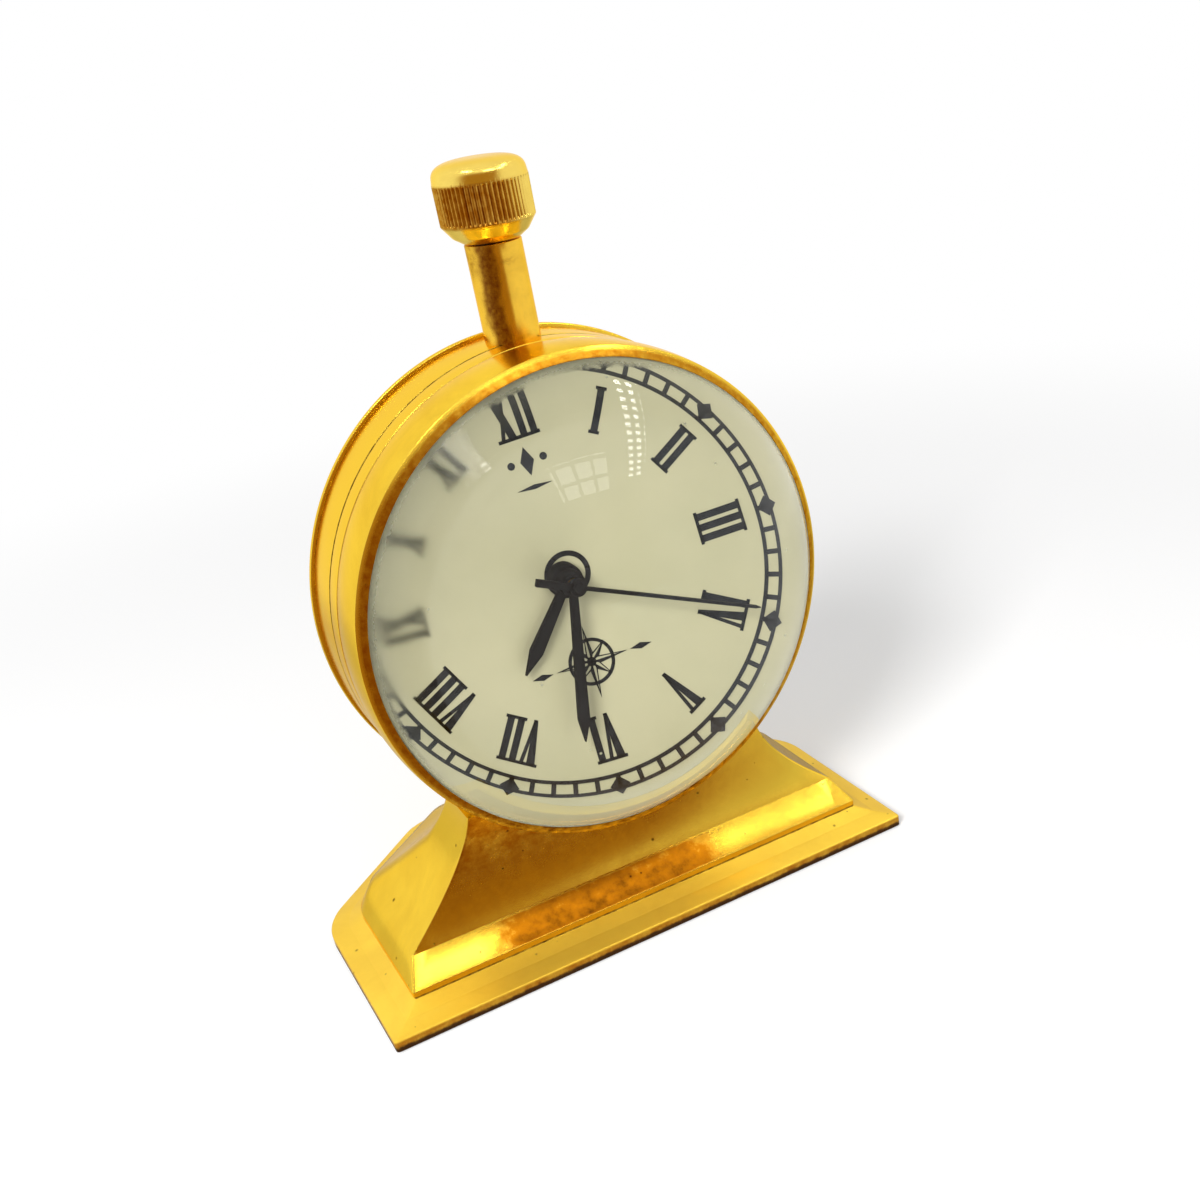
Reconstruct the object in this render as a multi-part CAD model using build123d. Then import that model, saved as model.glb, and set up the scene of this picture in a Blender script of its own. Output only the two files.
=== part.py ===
from build123d import *
import math
import os

# Desk clock, in millimetres. X runs to the right, Y to the back and Z up.
# The origin is on the desk, under the middle of the plinth.
# A depth is measured to the back from the front rim of the drum, along the drum's axis.

# Plinth and pedestal
base_length = 92.0
base_depth = 59.0
shoulder_back = 21.3
shoulder_run = 23.1
shoulder_round = 12.0
rear_round = 9.0
front_corner_round = 0.5
felt_stand = 0.3
edge_top = 2.3
riser_bottom = 4.1
riser_top = 5.2
foot_level = 8.75
riser_inset = 5.5
foot_inset = 7.5
foot_front_inset = 9.6
cove_level = 18.0
cove_half = 29.2
cove_front_inset = 10.8
top_level = 28.7
top_half = 24.9
top_front_inset = 7.8
top_rear_depth = 19.5
top_shoulder_depth = 17.4
top_rear_flat_half = 22.5
top_shoulder_round = 2.0
base_wall = 3.0
plinth_roof_level = 6.2
pocket_roof_level = 15.5
felt_thickness = 1.2
felt_margin = 2.0
felt_clearance = 0.1

# Drum, bezel and glass
drum_radius = 35.0
drum_centre_height = 57.0
drum_depth = 20.5
drum_setback = 0.5
case_wall = 1.6
seat_clearance = 0.03
bezel_depth = 8.2
band_swell = 0.25
groove_depth = 0.3
groove_width = 0.5
bead_end_depth = 11.7
cover_lip = 0.9
cover_overhang = 0.5
cover_thickness = 0.8
cover_spigot = 1.4
bezel_wall = 1.0
rim_lip = 0.4
rim_projection = 1.0
lens_back_depth = 2.6
lens_rise = 18.0
lens_chamfer = 0.5
lens_edge_depth = -0.4
gasket_thickness = 0.6
gasket_width = 2.1
spigot_wall = 1.4
dial_front_depth = 10.6
dial_thickness = 0.4
dial_clearance = 0.1
dial_ledge = 2.0
dial_ledge_thickness = 1.0
spacer_wall = 0.5

# Stem tube and knob
tube_radius = 3.8
tube_bore = 1.3
tube_height = 12.4
stem_depth = 14.3
tube_spigot_radius = 1.6
tube_spigot_length = 3.2
tube_nut_radius = 2.2
tube_nut_thickness = 1.4
knob_gap = 0.2
knob_bottom_radius = 3.9
knob_radius = 6.25
knob_taper_height = 2.4
knob_knurl_height = 4.8
knob_dome_height = 2.7
knob_crest_radius = 5.2
knob_bevel = 0.6
knurl_count = 60
knurl_cut = 0.3
knob_socket_depth = 5.0
knob_pull = 1.2

# Fasteners
base_screw_x = 10.0
base_screw_depth = 16.0
base_screw_radius = 1.5
base_screw_head_radius = 2.6
base_screw_head_height = 1.8
screw_clearance = 0.15
slot_width_share = 0.28
slot_depth_share = 0.45
strap_half_length = 14.0
strap_width = 4.0
strap_thickness = 2.4
cover_screw_inset = 3.2
cover_screw_radius = 0.9
cover_screw_head_radius = 1.7
cover_screw_head_height = 0.9
cover_screw_reach = 4.0

# Movement plates
plate_radius = 18.4
plate_front_depth = 12.8
plate_thickness = 2.4
bridge_front_depth = 17.4
bridge_thickness = 0.6
bridge_margin = 1.1
pillar_radius = 1.0
holder_front_depth = 12.1
holder_rear_depth = 18.4
holder_web = 1.2
holder_wall = 1.4
holder_ledge = 1.2
holder_rib = 1.2
holder_rib_count = 8
clamp_offset = 0.8
clamp_radius = 1.6
clamp_thickness = 0.4
clamp_screw_radius = 0.6
clamp_screw_reach = 3.0
clamp_screw_head_radius = 1.1
clamp_screw_head_height = 0.6
bridge_screw_radius = 0.35
bridge_screw_reach = 1.6
bridge_screw_head_radius = 0.8
bridge_screw_head_height = 0.4
pillar_distance = 8.6
far_pillar_distance = 9.4

# Running fits
running_clearance = 0.05
arbor_radius = 0.3
pivot_radius = 0.15
pivot_length = 0.45
second_arbor_radius = 0.25
pipe_wall = 0.3
wheel_thickness = 0.3
pinion_thickness = 0.5

# Teeth: the train from the rotor to the centre, then the setting train
rotor_teeth = 8
step_teeth = 48
step_leaves = 8
second_teeth = 40
second_leaves = 8
third_teeth = 60
third_leaves = 8
centre_teeth = 64
rotor_module = 0.13
step_module = 0.175
third_module = 0.12
centre_distance = (second_leaves + third_teeth) * third_module / 2
centre_module = 2 * centre_distance / (third_leaves + centre_teeth)
cannon_teeth = 12
motion_teeth = 36
motion_leaves = 12
hour_teeth = 48
cannon_module = 0.2
motion_distance = (cannon_teeth + motion_teeth) * cannon_module / 2
hour_module = 2 * motion_distance / (motion_leaves + hour_teeth)
setting_teeth = 20
clutch_teeth = 20

# Where the arbors stand, as directions seen from the front
third_direction = -30.0
step_direction = 210.0
rotor_direction = 200.0

# Levels of the wheels
centre_wheel_depth = 15.5
third_wheel_depth = 16.5
second_wheel_depth = 16.0
step_wheel_depth = 16.95
hour_wheel_depth = 11.25
motion_wheel_depth = 12.1

# Hands
hour_hand_depth = 9.5
minute_hand_depth = 8.7
second_hand_depth = 7.9
hand_thickness = 0.3
hour_hand_length = 10.9
minute_hand_length = 17.1
second_hand_length = 20.7
second_tail_length = 4.75
hour_hand_width = 1.4
minute_hand_width = 1.25
second_hand_width = 0.4
hour_hub_radius = 1.85
minute_hub_radius = 1.5
second_hub_radius = 1.05
hour_angle = 218.0
minute_angle = 188.5
second_angle = 112.5

# Rotor, stator, coil, battery and circuit
rotor_magnet_radius = 1.3
rotor_magnet_height = 0.8
stator_gap = 0.35
stator_thickness = 0.6
stator_width = 4.4
stator_bar = 2.0
stator_bar_level = -6.8
stator_depth = 15.75
coil_level = -10.5
coil_length = 9.0
coil_foot = 1.3
coil_foot_reach = 1.6
coil_core_width = 1.4
battery_radius = 4.75
battery_height = 2.0
battery_x = 12.3
battery_z = -4.2
clip_thickness = 0.25
clip_width = 2.2
board_thickness = 0.4
board_inner = 11.2
board_outer = 17.6
board_start = 108.0
board_sweep = 62.0
chip_size = 3.0
chip_height = 0.7
crystal_radius = 0.95
crystal_length = 5.2

# Setting works
clutch_tooth_height = 0.5
clutch_tooth_width = 0.5
clutch_body_radius = 2.25
clutch_length = 2.0
clutch_mesh_gap = 0.12
stem_radius = 0.7
stem_square = 0.95
stem_groove_radius = 0.4
stem_groove_width = 1.0
lever_pin_radius = 0.3
lever_arm = 4.5
lever_thickness = 0.4
lever_width = 1.6
lever_rise = 1.0
lever_tail = 4.0


def place(depth, x=0.0, z=0.0):
    """The point at this depth, beside and above the drum's axis."""
    return Vector(x, drum_front_y + depth, drum_centre_height + z)


def polar(distance, direction):
    """X and Z of a point seen from the front, counter-clockwise from the right."""
    a = math.radians(direction)
    return distance * math.cos(a), distance * math.sin(a)


def front_plane(depth, x=0.0, z=0.0, turn=0.0):
    """A drawing plane seen from the front, at this depth."""
    a = math.radians(turn)
    return Plane(origin=place(depth, x, z), x_dir=(math.cos(a), 0, math.sin(a)), z_dir=(0, -1, 0))


def plate(sketch, front, thickness, x=0.0, z=0.0, turn=0.0):
    """A flat shape drawn from the front, from its front depth to the back."""
    rear = front_plane(front + thickness, x, z, turn)
    return extrude(rear * sketch, amount=thickness)


def rod(radius, front, rear, x=0.0, z=0.0):
    """A round bar along the drum's direction."""
    return plate(Circle(radius), front, rear - front, x, z)


def pipe(outer, inner, front, rear, x=0.0, z=0.0):
    """A round tube along the drum's direction."""
    return rod(outer, front, rear, x, z) - rod(inner, front - 1, rear + 1, x, z)


def upright(radius, bottom, top, x, y):
    """A vertical round bar."""
    return Pos(x, y, bottom) * extrude(Circle(radius), amount=top - bottom)


def rounded_outline(corners):
    """A closed face in XY from corners given as x, y and the radius of their round."""
    count = len(corners)
    edges = []
    joins = []
    for i, (x, y, radius) in enumerate(corners):
        here = Vector(x, y, 0)
        back = (Vector(*corners[i - 1][:2], 0) - here).normalized()
        ahead = (Vector(*corners[(i + 1) % count][:2], 0) - here).normalized()
        half_turn = math.radians(back.get_angle(ahead)) / 2
        reach = radius / math.tan(half_turn)
        to_centre = (back + ahead).normalized()
        middle = here + to_centre * (radius / math.sin(half_turn) - radius)
        joins.append((here + back * reach, middle, here + ahead * reach))
    for i, (start, middle, end) in enumerate(joins):
        edges.append(ThreePointArc(start, middle, end))
        edges.append(Line(end, joins[(i + 1) % count][0]))
    return make_face(edges)


def turned(points, x=0.0, z=0.0):
    """A solid turned about the drum's direction, from depth and radius pairs."""
    profile = make_face(Polyline([place(depth, x, z + radius) for depth, radius in points], close=True))
    return revolve(profile, Axis(place(0, x, z), (0, 1, 0)), 360)


def gear_outline(teeth, module, phase):
    """Plain tapered teeth; one tooth points along phase, in degrees."""
    pitch_radius = teeth * module / 2
    tip = pitch_radius + 0.9 * module
    root = pitch_radius - 1.2 * module
    pitch_angle = 360 / teeth
    points = []
    for i in range(teeth):
        middle = phase + i * pitch_angle
        for radius, share in ((root, -0.3), (tip, -0.11), (tip, 0.11), (root, 0.3)):
            points.append(polar(radius, middle + share * pitch_angle))
    return make_face(Polyline(points, close=True))


def mesh_phase(phase, teeth, other_teeth, direction):
    """The phase of a wheel that lies in this direction, in mesh with the first."""
    share = ((direction - phase) / (360 / teeth)) % 1
    return direction + 180 - (0.5 - share) * 360 / other_teeth


def arbor(front, rear, x, z):
    """A wheel's shaft between two plates, with a thinner pivot at each end."""
    shaft = rod(arbor_radius, front + pivot_length, rear - pivot_length, x, z)
    return shaft + rod(pivot_radius, front, rear, x, z)


def screw(head_radius, head_height, shank_radius, length):
    """A slotted cheese-head screw that points down, with its head's underside at zero."""
    body = extrude(Circle(head_radius), amount=head_height)
    body += extrude(Circle(shank_radius), amount=-length)
    slot_depth = slot_depth_share * head_height
    slot = Box(3 * head_radius, slot_width_share * head_radius, slot_depth)
    slot = Pos(0, 0, head_height - slot_depth / 2) * slot
    return body - slot


def rear_screw(head_radius, head_height, shank_radius, length, depth, x, z, turn=0.0):
    """The same screw, driven forward from behind, with its head on this depth."""
    a = math.radians(turn)
    seat = Plane(origin=place(depth, x, z), x_dir=(math.cos(a), 0, math.sin(a)), z_dir=(0, 1, 0))
    return seat * screw(head_radius, head_height, shank_radius, length)


def through(level, low, middle, high):
    """The value at a level on the parabola through three level and value pairs."""
    slope = (middle[1] - low[1]) / (middle[0] - low[0])
    next_slope = (high[1] - middle[1]) / (high[0] - middle[0])
    bend = (next_slope - slope) / (high[0] - low[0])
    return low[1] + slope * (level - low[0]) + bend * (level - low[0]) * (level - middle[0])


# Places worked out from the sizes
shoulder_y = base_depth / 2 - shoulder_back
rear_flat_half = base_length / 2 - shoulder_run
drum_front_y = drum_setback - base_depth / 2
cove_front_y = cove_front_inset - base_depth / 2
top_front_y = top_front_inset - base_depth / 2
top_rear_y = drum_front_y + top_rear_depth
top_shoulder_y = drum_front_y + top_shoulder_depth
lens_radius = drum_radius - bezel_wall
rim_land = lens_radius - rim_lip
tube_top = drum_centre_height + drum_radius + tube_height
tube_y = drum_front_y + stem_depth
inner_radius = drum_radius - case_wall
plate_rear_depth = plate_front_depth + plate_thickness
bridge_rear_depth = bridge_front_depth + bridge_thickness
dial_rear_depth = dial_front_depth + dial_thickness
cover_front_depth = drum_depth - cover_lip
spigot_front_depth = lens_back_depth + gasket_thickness
spigot_bore = lens_radius - spigot_wall
dial_radius = spigot_bore - dial_clearance
dial_ledge_bore = dial_radius - dial_ledge
cover_screw_circle = inner_radius - cover_screw_inset
clamp_circle = plate_radius + clamp_offset
centre_pipe_bore = second_arbor_radius + running_clearance
centre_pipe_radius = centre_pipe_bore + 0.25
cannon_bore = centre_pipe_radius + running_clearance
cannon_radius = cannon_bore + pipe_wall
hour_bore = cannon_radius + running_clearance
hour_pipe_radius = hour_bore + pipe_wall + 0.1
third_x, third_z = polar(centre_distance, third_direction)
step_distance = (second_teeth + step_leaves) * step_module / 2
step_x, step_z = polar(step_distance, step_direction)
rotor_distance = (rotor_teeth + step_teeth) * rotor_module / 2
rotor_dx, rotor_dz = polar(rotor_distance, rotor_direction)
rotor_x = step_x + rotor_dx
rotor_z = step_z + rotor_dz
setting_distance = (motion_teeth + setting_teeth) * cannon_module / 2
setting_z = motion_distance + setting_distance
setting_tip = setting_teeth * cannon_module / 2 + 0.9 * cannon_module
clutch_bottom = setting_z + setting_tip - clutch_tooth_height + clutch_mesh_gap
clutch_top = clutch_bottom + clutch_length
knob_bottom = tube_top + knob_gap
knob_taper_top = knob_bottom + knob_taper_height
knob_knurl_top = knob_taper_top + knob_knurl_height
knob_top = knob_knurl_top + knob_dome_height
socket_top = knob_bottom + knob_socket_depth

# Phases of the wheels at rest
second_phase = 0.0
third_phase = mesh_phase(second_phase, second_leaves, third_teeth, third_direction)
centre_phase = mesh_phase(third_phase, third_leaves, centre_teeth, third_direction + 180)
step_leaf_phase = mesh_phase(second_phase, second_teeth, step_leaves, step_direction)
rotor_phase = mesh_phase(step_leaf_phase, step_teeth, rotor_teeth, rotor_direction)
cannon_phase = 90.0
motion_phase = mesh_phase(cannon_phase, cannon_teeth, motion_teeth, 90)
hour_phase = mesh_phase(motion_phase, motion_leaves, hour_teeth, -90)
setting_phase = mesh_phase(motion_phase, motion_teeth, setting_teeth, 90)


def plan(inset, front_inset):
    """The plinth's outline, bowed at the back, drawn in by an inset."""
    half = base_length / 2 - inset
    rear = base_depth / 2 - inset
    run_x = base_length / 2 - rear_flat_half
    run_y = base_depth / 2 - shoulder_y
    slant = math.hypot(run_x, run_y)
    nx = run_y / slant
    ny = run_x / slant
    offset = nx * base_length / 2 + ny * shoulder_y - inset
    side_y = (offset - nx * half) / ny
    flat_half = (offset - ny * rear) / nx
    return section(half, front_inset - base_depth / 2, side_y, flat_half, rear,
                   shoulder_round - inset / 2, rear_round - inset / 2)


def section(half, front, side_y, flat_half, rear, side_round, back_round):
    """A bowed outline from its half length, front, shoulder and rear."""
    right = [
        (half, front, front_corner_round),
        (half, side_y, side_round),
        (flat_half, rear, back_round),
    ]
    left = [(-x, y, radius) for x, y, radius in reversed(right)]
    return rounded_outline(right + left)


def pedestal_section(level):
    """The pedestal's outline at a level between its foot and its top."""
    foot_half = base_length / 2 - foot_inset
    foot_front = foot_front_inset - base_depth / 2
    half = through(level, (foot_level, foot_half), (cove_level, cove_half), (top_level, top_half))
    front = through(level, (foot_level, foot_front), (cove_level, cove_front_y), (top_level, top_front_y))
    spread = (half - top_half) / (foot_half - top_half)
    rise = (top_level - level) / (top_level - foot_level)
    foot_rear = base_depth / 2 - foot_inset - 1
    foot_shoulder = shoulder_y - 3.5
    rear = top_rear_y + spread * (foot_rear - top_rear_y)
    side_y = top_shoulder_y + rise * (foot_shoulder - top_shoulder_y)
    flat_half = top_rear_flat_half + spread * (rear_flat_half - 3.1 - top_rear_flat_half)
    side_round = top_shoulder_round + rise * (shoulder_round - foot_inset / 2 - top_shoulder_round)
    back_round = top_shoulder_round + rise * (rear_round - foot_inset / 2 - top_shoulder_round)
    return section(half, front, side_y, flat_half, rear, side_round, back_round)


def at_level(face, level):
    """The face moved up to a level."""
    return Pos(0, 0, level) * face


def make_base():
    """Plinth, mouldings and pedestal in one casting, hollow from below."""
    body = extrude(at_level(plan(0, 0), felt_stand), amount=edge_top - felt_stand)
    lower_band = [
        at_level(plan(0, 0), edge_top),
        at_level(plan(riser_inset * 0.55, riser_inset * 0.55), edge_top + (riser_bottom - edge_top) * 0.4),
        at_level(plan(riser_inset, riser_inset), riser_bottom),
    ]
    body += loft(lower_band, ruled=True)
    riser = plan(riser_inset, riser_inset)
    body += extrude(at_level(riser, riser_bottom), amount=riser_top - riser_bottom)
    foot = pedestal_section(foot_level)
    body += loft([at_level(riser, riser_top), at_level(foot, foot_level)], ruled=True)
    steps = 6
    levels = [foot_level + (top_level - foot_level) * i / steps for i in range(steps + 1)]
    body += loft([at_level(pedestal_section(level), level) for level in levels])
    saddle = rod(drum_radius + seat_clearance, -10, base_depth)
    lip_room = rod(drum_radius + cover_overhang + 0.15, cover_front_depth - 0.1, base_depth)
    body -= saddle + lip_room
    recess = at_level(plan(felt_margin, felt_margin), 0)
    body -= extrude(recess, amount=felt_thickness)
    pocket_inset = riser_inset + base_wall
    lower_pocket = at_level(plan(pocket_inset, foot_front_inset + base_wall), felt_thickness)
    body -= extrude(lower_pocket, amount=plinth_roof_level - felt_thickness)
    pocket_front = cove_front_y + base_wall
    pocket_rear = top_rear_y + 7.5
    pocket_half = top_half - base_wall - 1
    pocket = rounded_outline([
        (pocket_half, pocket_front, 2),
        (pocket_half, pocket_rear, 2),
        (-pocket_half, pocket_rear, 2),
        (-pocket_half, pocket_front, 2),
    ])
    body -= extrude(at_level(pocket, felt_thickness), amount=pocket_roof_level - felt_thickness)
    screw_y = drum_front_y + base_screw_depth
    for x in (-base_screw_x, base_screw_x):
        body -= upright(base_screw_radius + screw_clearance, pocket_roof_level - 1, top_level, x, screw_y)
    return body


def make_base_felt():
    """The felt under the plinth."""
    margin = felt_margin + felt_clearance
    return extrude(plan(margin, margin), amount=felt_thickness)


def make_base_screws():
    """Two screws that pull the drum down into the pedestal."""
    screws = []
    wall_level = drum_centre_height - math.sqrt(inner_radius ** 2 - base_screw_x ** 2)
    reach = wall_level + strap_thickness - pocket_roof_level
    for x in (-base_screw_x, base_screw_x):
        turned_up = Pos(x, drum_front_y + base_screw_depth, pocket_roof_level) * Rot(180, 0, 0)
        straight = screw(base_screw_head_radius, base_screw_head_height, base_screw_radius, reach)
        screws.append(turned_up * straight)
    return screws


def make_screw_strap():
    """The curved nut plate inside the drum."""
    front = base_screw_depth - strap_width / 2
    ring = pipe(inner_radius - seat_clearance, inner_radius - strap_thickness, front, front + strap_width)
    keep = Pos(0, drum_front_y + base_screw_depth, drum_centre_height - drum_radius)
    strap = ring & (keep * Box(2 * strap_half_length, 2 * strap_width, drum_radius))
    for x in (-base_screw_x, base_screw_x):
        strap -= upright(base_screw_radius, 0, drum_centre_height, x, drum_front_y + base_screw_depth)
    return strap


def make_drum_case():
    """The drum's tube with its spigot, bead, grooves and dial ledge."""
    ledge_rear = dial_rear_depth + dial_ledge_thickness
    groove = drum_radius - groove_depth
    points = [
        (spigot_front_depth, lens_radius),
        (bezel_depth, lens_radius),
        (bezel_depth, groove),
        (bezel_depth + groove_width / 2, drum_radius),
        (bead_end_depth - groove_width / 2, drum_radius),
        (bead_end_depth, groove),
        (bead_end_depth + groove_width / 2, drum_radius),
        (cover_front_depth - groove_width / 2, drum_radius),
        (cover_front_depth, groove),
        (cover_front_depth, inner_radius),
        (ledge_rear, inner_radius),
        (ledge_rear, dial_ledge_bore),
        (dial_rear_depth, dial_ledge_bore),
        (dial_rear_depth, spigot_bore),
        (spigot_front_depth, spigot_bore),
    ]
    case = turned(points)
    case -= upright(tube_spigot_radius + seat_clearance, drum_centre_height, tube_top, 0, tube_y)
    screw_y = drum_front_y + base_screw_depth
    for x in (-base_screw_x, base_screw_x):
        case -= upright(base_screw_radius + screw_clearance, 0, drum_centre_height, x, screw_y)
    return case


def make_bezel():
    """The front ring, with the slanted rim that holds the glass."""
    bore = lens_radius + seat_clearance
    rear = bezel_depth - groove_width / 2
    outline = [
        Line(place(-rim_projection, 0, rim_land), place(0, 0, drum_radius)),
        ThreePointArc(place(0, 0, drum_radius), place(rear / 2, 0, drum_radius + band_swell),
                      place(rear, 0, drum_radius)),
    ]
    inside = [
        place(rear, 0, drum_radius),
        place(bezel_depth, 0, drum_radius - groove_depth),
        place(bezel_depth, 0, bore),
        place(lens_edge_depth - 0.04, 0, bore),
        place(-rim_projection + 0.2, 0, rim_land),
        place(-rim_projection, 0, rim_land),
    ]
    for start, end in zip(inside, inside[1:]):
        outline.append(Line(start, end))
    return revolve(make_face(outline), Axis(place(0), (0, 1, 0)), 360)


def make_lens():
    """The thick glass, flat behind and domed in front."""
    edge = lens_radius - lens_chamfer
    front = lens_edge_depth - lens_chamfer
    dome_radius = (edge ** 2 + lens_rise ** 2) / (2 * lens_rise)
    half_rise = dome_radius - math.sqrt(dome_radius ** 2 - (edge / 2) ** 2)
    apex = front - lens_rise
    outline = [
        ThreePointArc(place(apex), place(apex + half_rise, 0, edge / 2), place(front, 0, edge)),
        Line(place(front, 0, edge), place(lens_edge_depth, 0, lens_radius)),
        Line(place(lens_edge_depth, 0, lens_radius), place(lens_back_depth, 0, lens_radius)),
        Line(place(lens_back_depth, 0, lens_radius), place(lens_back_depth)),
        Line(place(lens_back_depth), place(apex)),
    ]
    return revolve(make_face(outline), Axis(place(0), (0, 1, 0)), 360)


def make_knob():
    """The knurled knob, tapered below and domed above, with a socket for the stem."""
    shoulder = knob_radius - knurl_cut
    crest_level = knob_taper_height + knob_knurl_height + knob_bevel
    height = knob_top - knob_bottom
    turned_outline = Polyline([
        (0, 0),
        (knob_bottom_radius, 0),
        (shoulder, knob_taper_height),
        (shoulder, crest_level - knob_bevel),
        (knob_crest_radius, crest_level),
        (0, crest_level),
    ], close=True)
    knob = revolve(Plane.XZ * make_face(turned_outline), Axis.Z, 360)
    ridges = []
    for i in range(knurl_count):
        for share, radius in ((0, knob_radius), (0.35, knob_radius), (0.68, shoulder)):
            ridges.append(polar(radius, 360 * (i + share) / knurl_count))
    knurl = make_face(Polyline(ridges, close=True))
    knob += Pos(0, 0, knob_taper_height) * extrude(knurl, amount=knob_knurl_height)
    dome_height = height - crest_level
    dome_radius = (knob_crest_radius ** 2 + dome_height ** 2) / (2 * dome_height)
    dome = Pos(0, 0, height - dome_radius) * Sphere(dome_radius)
    knob += dome & Pos(0, 0, crest_level - 0.1) * extrude(Circle(knob_crest_radius), amount=height)
    knob -= extrude(Circle(stem_radius + seat_clearance), amount=knob_socket_depth)
    return Pos(0, tube_y, knob_bottom) * knob


def make_stem_tube():
    """The tube between drum and knob, seated on the drum, with a spigot through its wall."""
    bottom = drum_centre_height + drum_radius - tube_spigot_length
    tube = upright(tube_radius, bottom, tube_top, 0, tube_y) - rod(drum_radius, 0, drum_depth)
    tube += upright(tube_spigot_radius, bottom, tube_top, 0, tube_y)
    return tube - upright(tube_bore, bottom - 1, tube_top + 1, 0, tube_y)


def make_tube_nut():
    """The ring nut on the tube's spigot, inside the drum."""
    bottom = drum_centre_height + inner_radius - tube_nut_thickness
    nut = upright(tube_nut_radius, bottom, bottom + tube_nut_thickness, 0, tube_y)
    nut -= upright(tube_spigot_radius, bottom - 1, drum_centre_height + drum_radius, 0, tube_y)
    return nut & rod(inner_radius - seat_clearance, 0, drum_depth)


def make_dial():
    """The dial's plate, with a hole for the hour pipe."""
    hole = hour_pipe_radius + 0.4
    return pipe(dial_radius - seat_clearance, hole, dial_front_depth, dial_rear_depth)


def make_dial_spacer():
    """The ring that keeps the dial back from the glass."""
    outer = dial_radius - seat_clearance
    return pipe(outer, outer - spacer_wall, spigot_front_depth, dial_front_depth)


def make_lens_gasket():
    """The ring between the glass and the drum's spigot."""
    return pipe(lens_radius, lens_radius - gasket_width, lens_back_depth, spigot_front_depth)


def make_back_cover():
    """The rear cover with its lip, spigot and screw holes."""
    bore = inner_radius - seat_clearance
    lip_round = 0.3
    points = [
        (cover_front_depth, drum_radius + cover_overhang - lip_round),
        (cover_front_depth + lip_round, drum_radius + cover_overhang),
        (drum_depth - lip_round, drum_radius + cover_overhang),
        (drum_depth, drum_radius + cover_overhang - lip_round),
        (drum_depth, drum_radius - 1.2),
        (drum_depth - 0.3, drum_radius - 1.6),
        (drum_depth - 0.3, 0),
        (drum_depth - cover_thickness, 0),
        (drum_depth - cover_thickness, bore - cover_spigot),
        (cover_front_depth - cover_spigot, bore - cover_spigot),
        (cover_front_depth - cover_spigot, bore),
        (cover_front_depth, bore),
    ]
    cover = turned(points)
    for x, z in cover_screw_places():
        cover -= rod(cover_screw_radius + screw_clearance, 0, base_depth, x, z)
    return cover


def cover_screw_places():
    """Where the four screws of the cover stand."""
    return [polar(cover_screw_circle, 45 + 90 * i) for i in range(4)]


def make_back_cover_screws():
    """Four slotted screws that hold the cover to the holder's bosses."""
    seat = drum_depth - 0.3
    return [
        rear_screw(cover_screw_head_radius, cover_screw_head_height, cover_screw_radius, cover_screw_reach,
                   seat, x, z, 30 + 50 * i)
        for i, (x, z) in enumerate(cover_screw_places())
    ]


def make_movement_holder():
    """The moulded ring that carries the movement, with ribs and screw bosses."""
    outer = inner_radius - 0.2
    inner = plate_radius + seat_clearance
    rear = holder_rear_depth
    holder = pipe(outer, inner - holder_ledge, holder_front_depth, plate_front_depth)
    holder += pipe(outer, inner, plate_front_depth, holder_front_depth + holder_web)
    holder += pipe(inner + holder_wall, inner, holder_front_depth + holder_web, plate_rear_depth)
    holder += pipe(outer, outer - holder_wall, holder_front_depth + holder_web, rear - cover_spigot)
    rib_length = outer - inner - 2 * holder_wall + 0.4
    rib_middle = (outer + inner) / 2
    rib_rear = plate_rear_depth
    for i in range(holder_rib_count):
        direction = 360 / holder_rib_count * (i + 0.5)
        x, z = polar(rib_middle, direction)
        bar = Rectangle(rib_length, holder_rib)
        holder += plate(bar, holder_front_depth, rib_rear - holder_front_depth, x, z, direction)
    for x, z in cover_screw_places():
        boss = rod(cover_screw_radius + 1.1, holder_front_depth, rear, x, z)
        holder += boss & rod(inner_radius - cover_spigot - 0.2, 0, drum_depth)
        holder -= rod(cover_screw_radius, rear - cover_screw_reach, rear + 1, x, z)
    strap_room = Pos(0, 0, drum_centre_height - outer) * Box(2 * strap_half_length + 2, base_depth * 2,
                                                            2 * strap_thickness + 6.4)
    holder -= strap_room
    tube_room_width = 2 * (clutch_body_radius + 0.6)
    tube_room = Pos(0, 0, drum_centre_height + outer - 3) * Box(2 * tube_nut_radius + 2, base_depth * 2, 9)
    holder -= tube_room
    stem_room_height = outer - clutch_bottom + 2
    stem_room = Pos(0, 0, drum_centre_height + clutch_bottom - 1 + stem_room_height / 2)
    holder -= stem_room * Box(tube_room_width, base_depth * 2, stem_room_height)
    for x, z in clamp_places():
        holder -= rod(clamp_screw_radius, 0, base_depth, x, z)
    return holder


def clamp_places():
    """Where the screws of the movement's clamps stand."""
    return [polar(clamp_circle, direction) for direction in (150, 270, 30)]


def make_movement_clamps():
    """Three washers that overlap the edge of the main plate."""
    clamps = []
    for x, z in clamp_places():
        washer = pipe(clamp_radius, clamp_screw_radius + seat_clearance, plate_rear_depth,
                      plate_rear_depth + clamp_thickness, x, z)
        clamps.append(washer)
    return clamps


def make_clamp_screws():
    """Three screws through the clamps."""
    seat = plate_rear_depth + clamp_thickness
    return [
        rear_screw(clamp_screw_head_radius, clamp_screw_head_height, clamp_screw_radius,
                   clamp_screw_reach, seat, x, z, 20 + 65 * i)
        for i, (x, z) in enumerate(clamp_places())
    ]


def train_arbors():
    """Arbor places that run in both plates."""
    return [(third_x, third_z), (step_x, step_z), (rotor_x, rotor_z)]


def pillar_places():
    """The bridge's pillars."""
    return [polar(pillar_distance, 62), polar(far_pillar_distance, 165), polar(pillar_distance, -75)]


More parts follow.
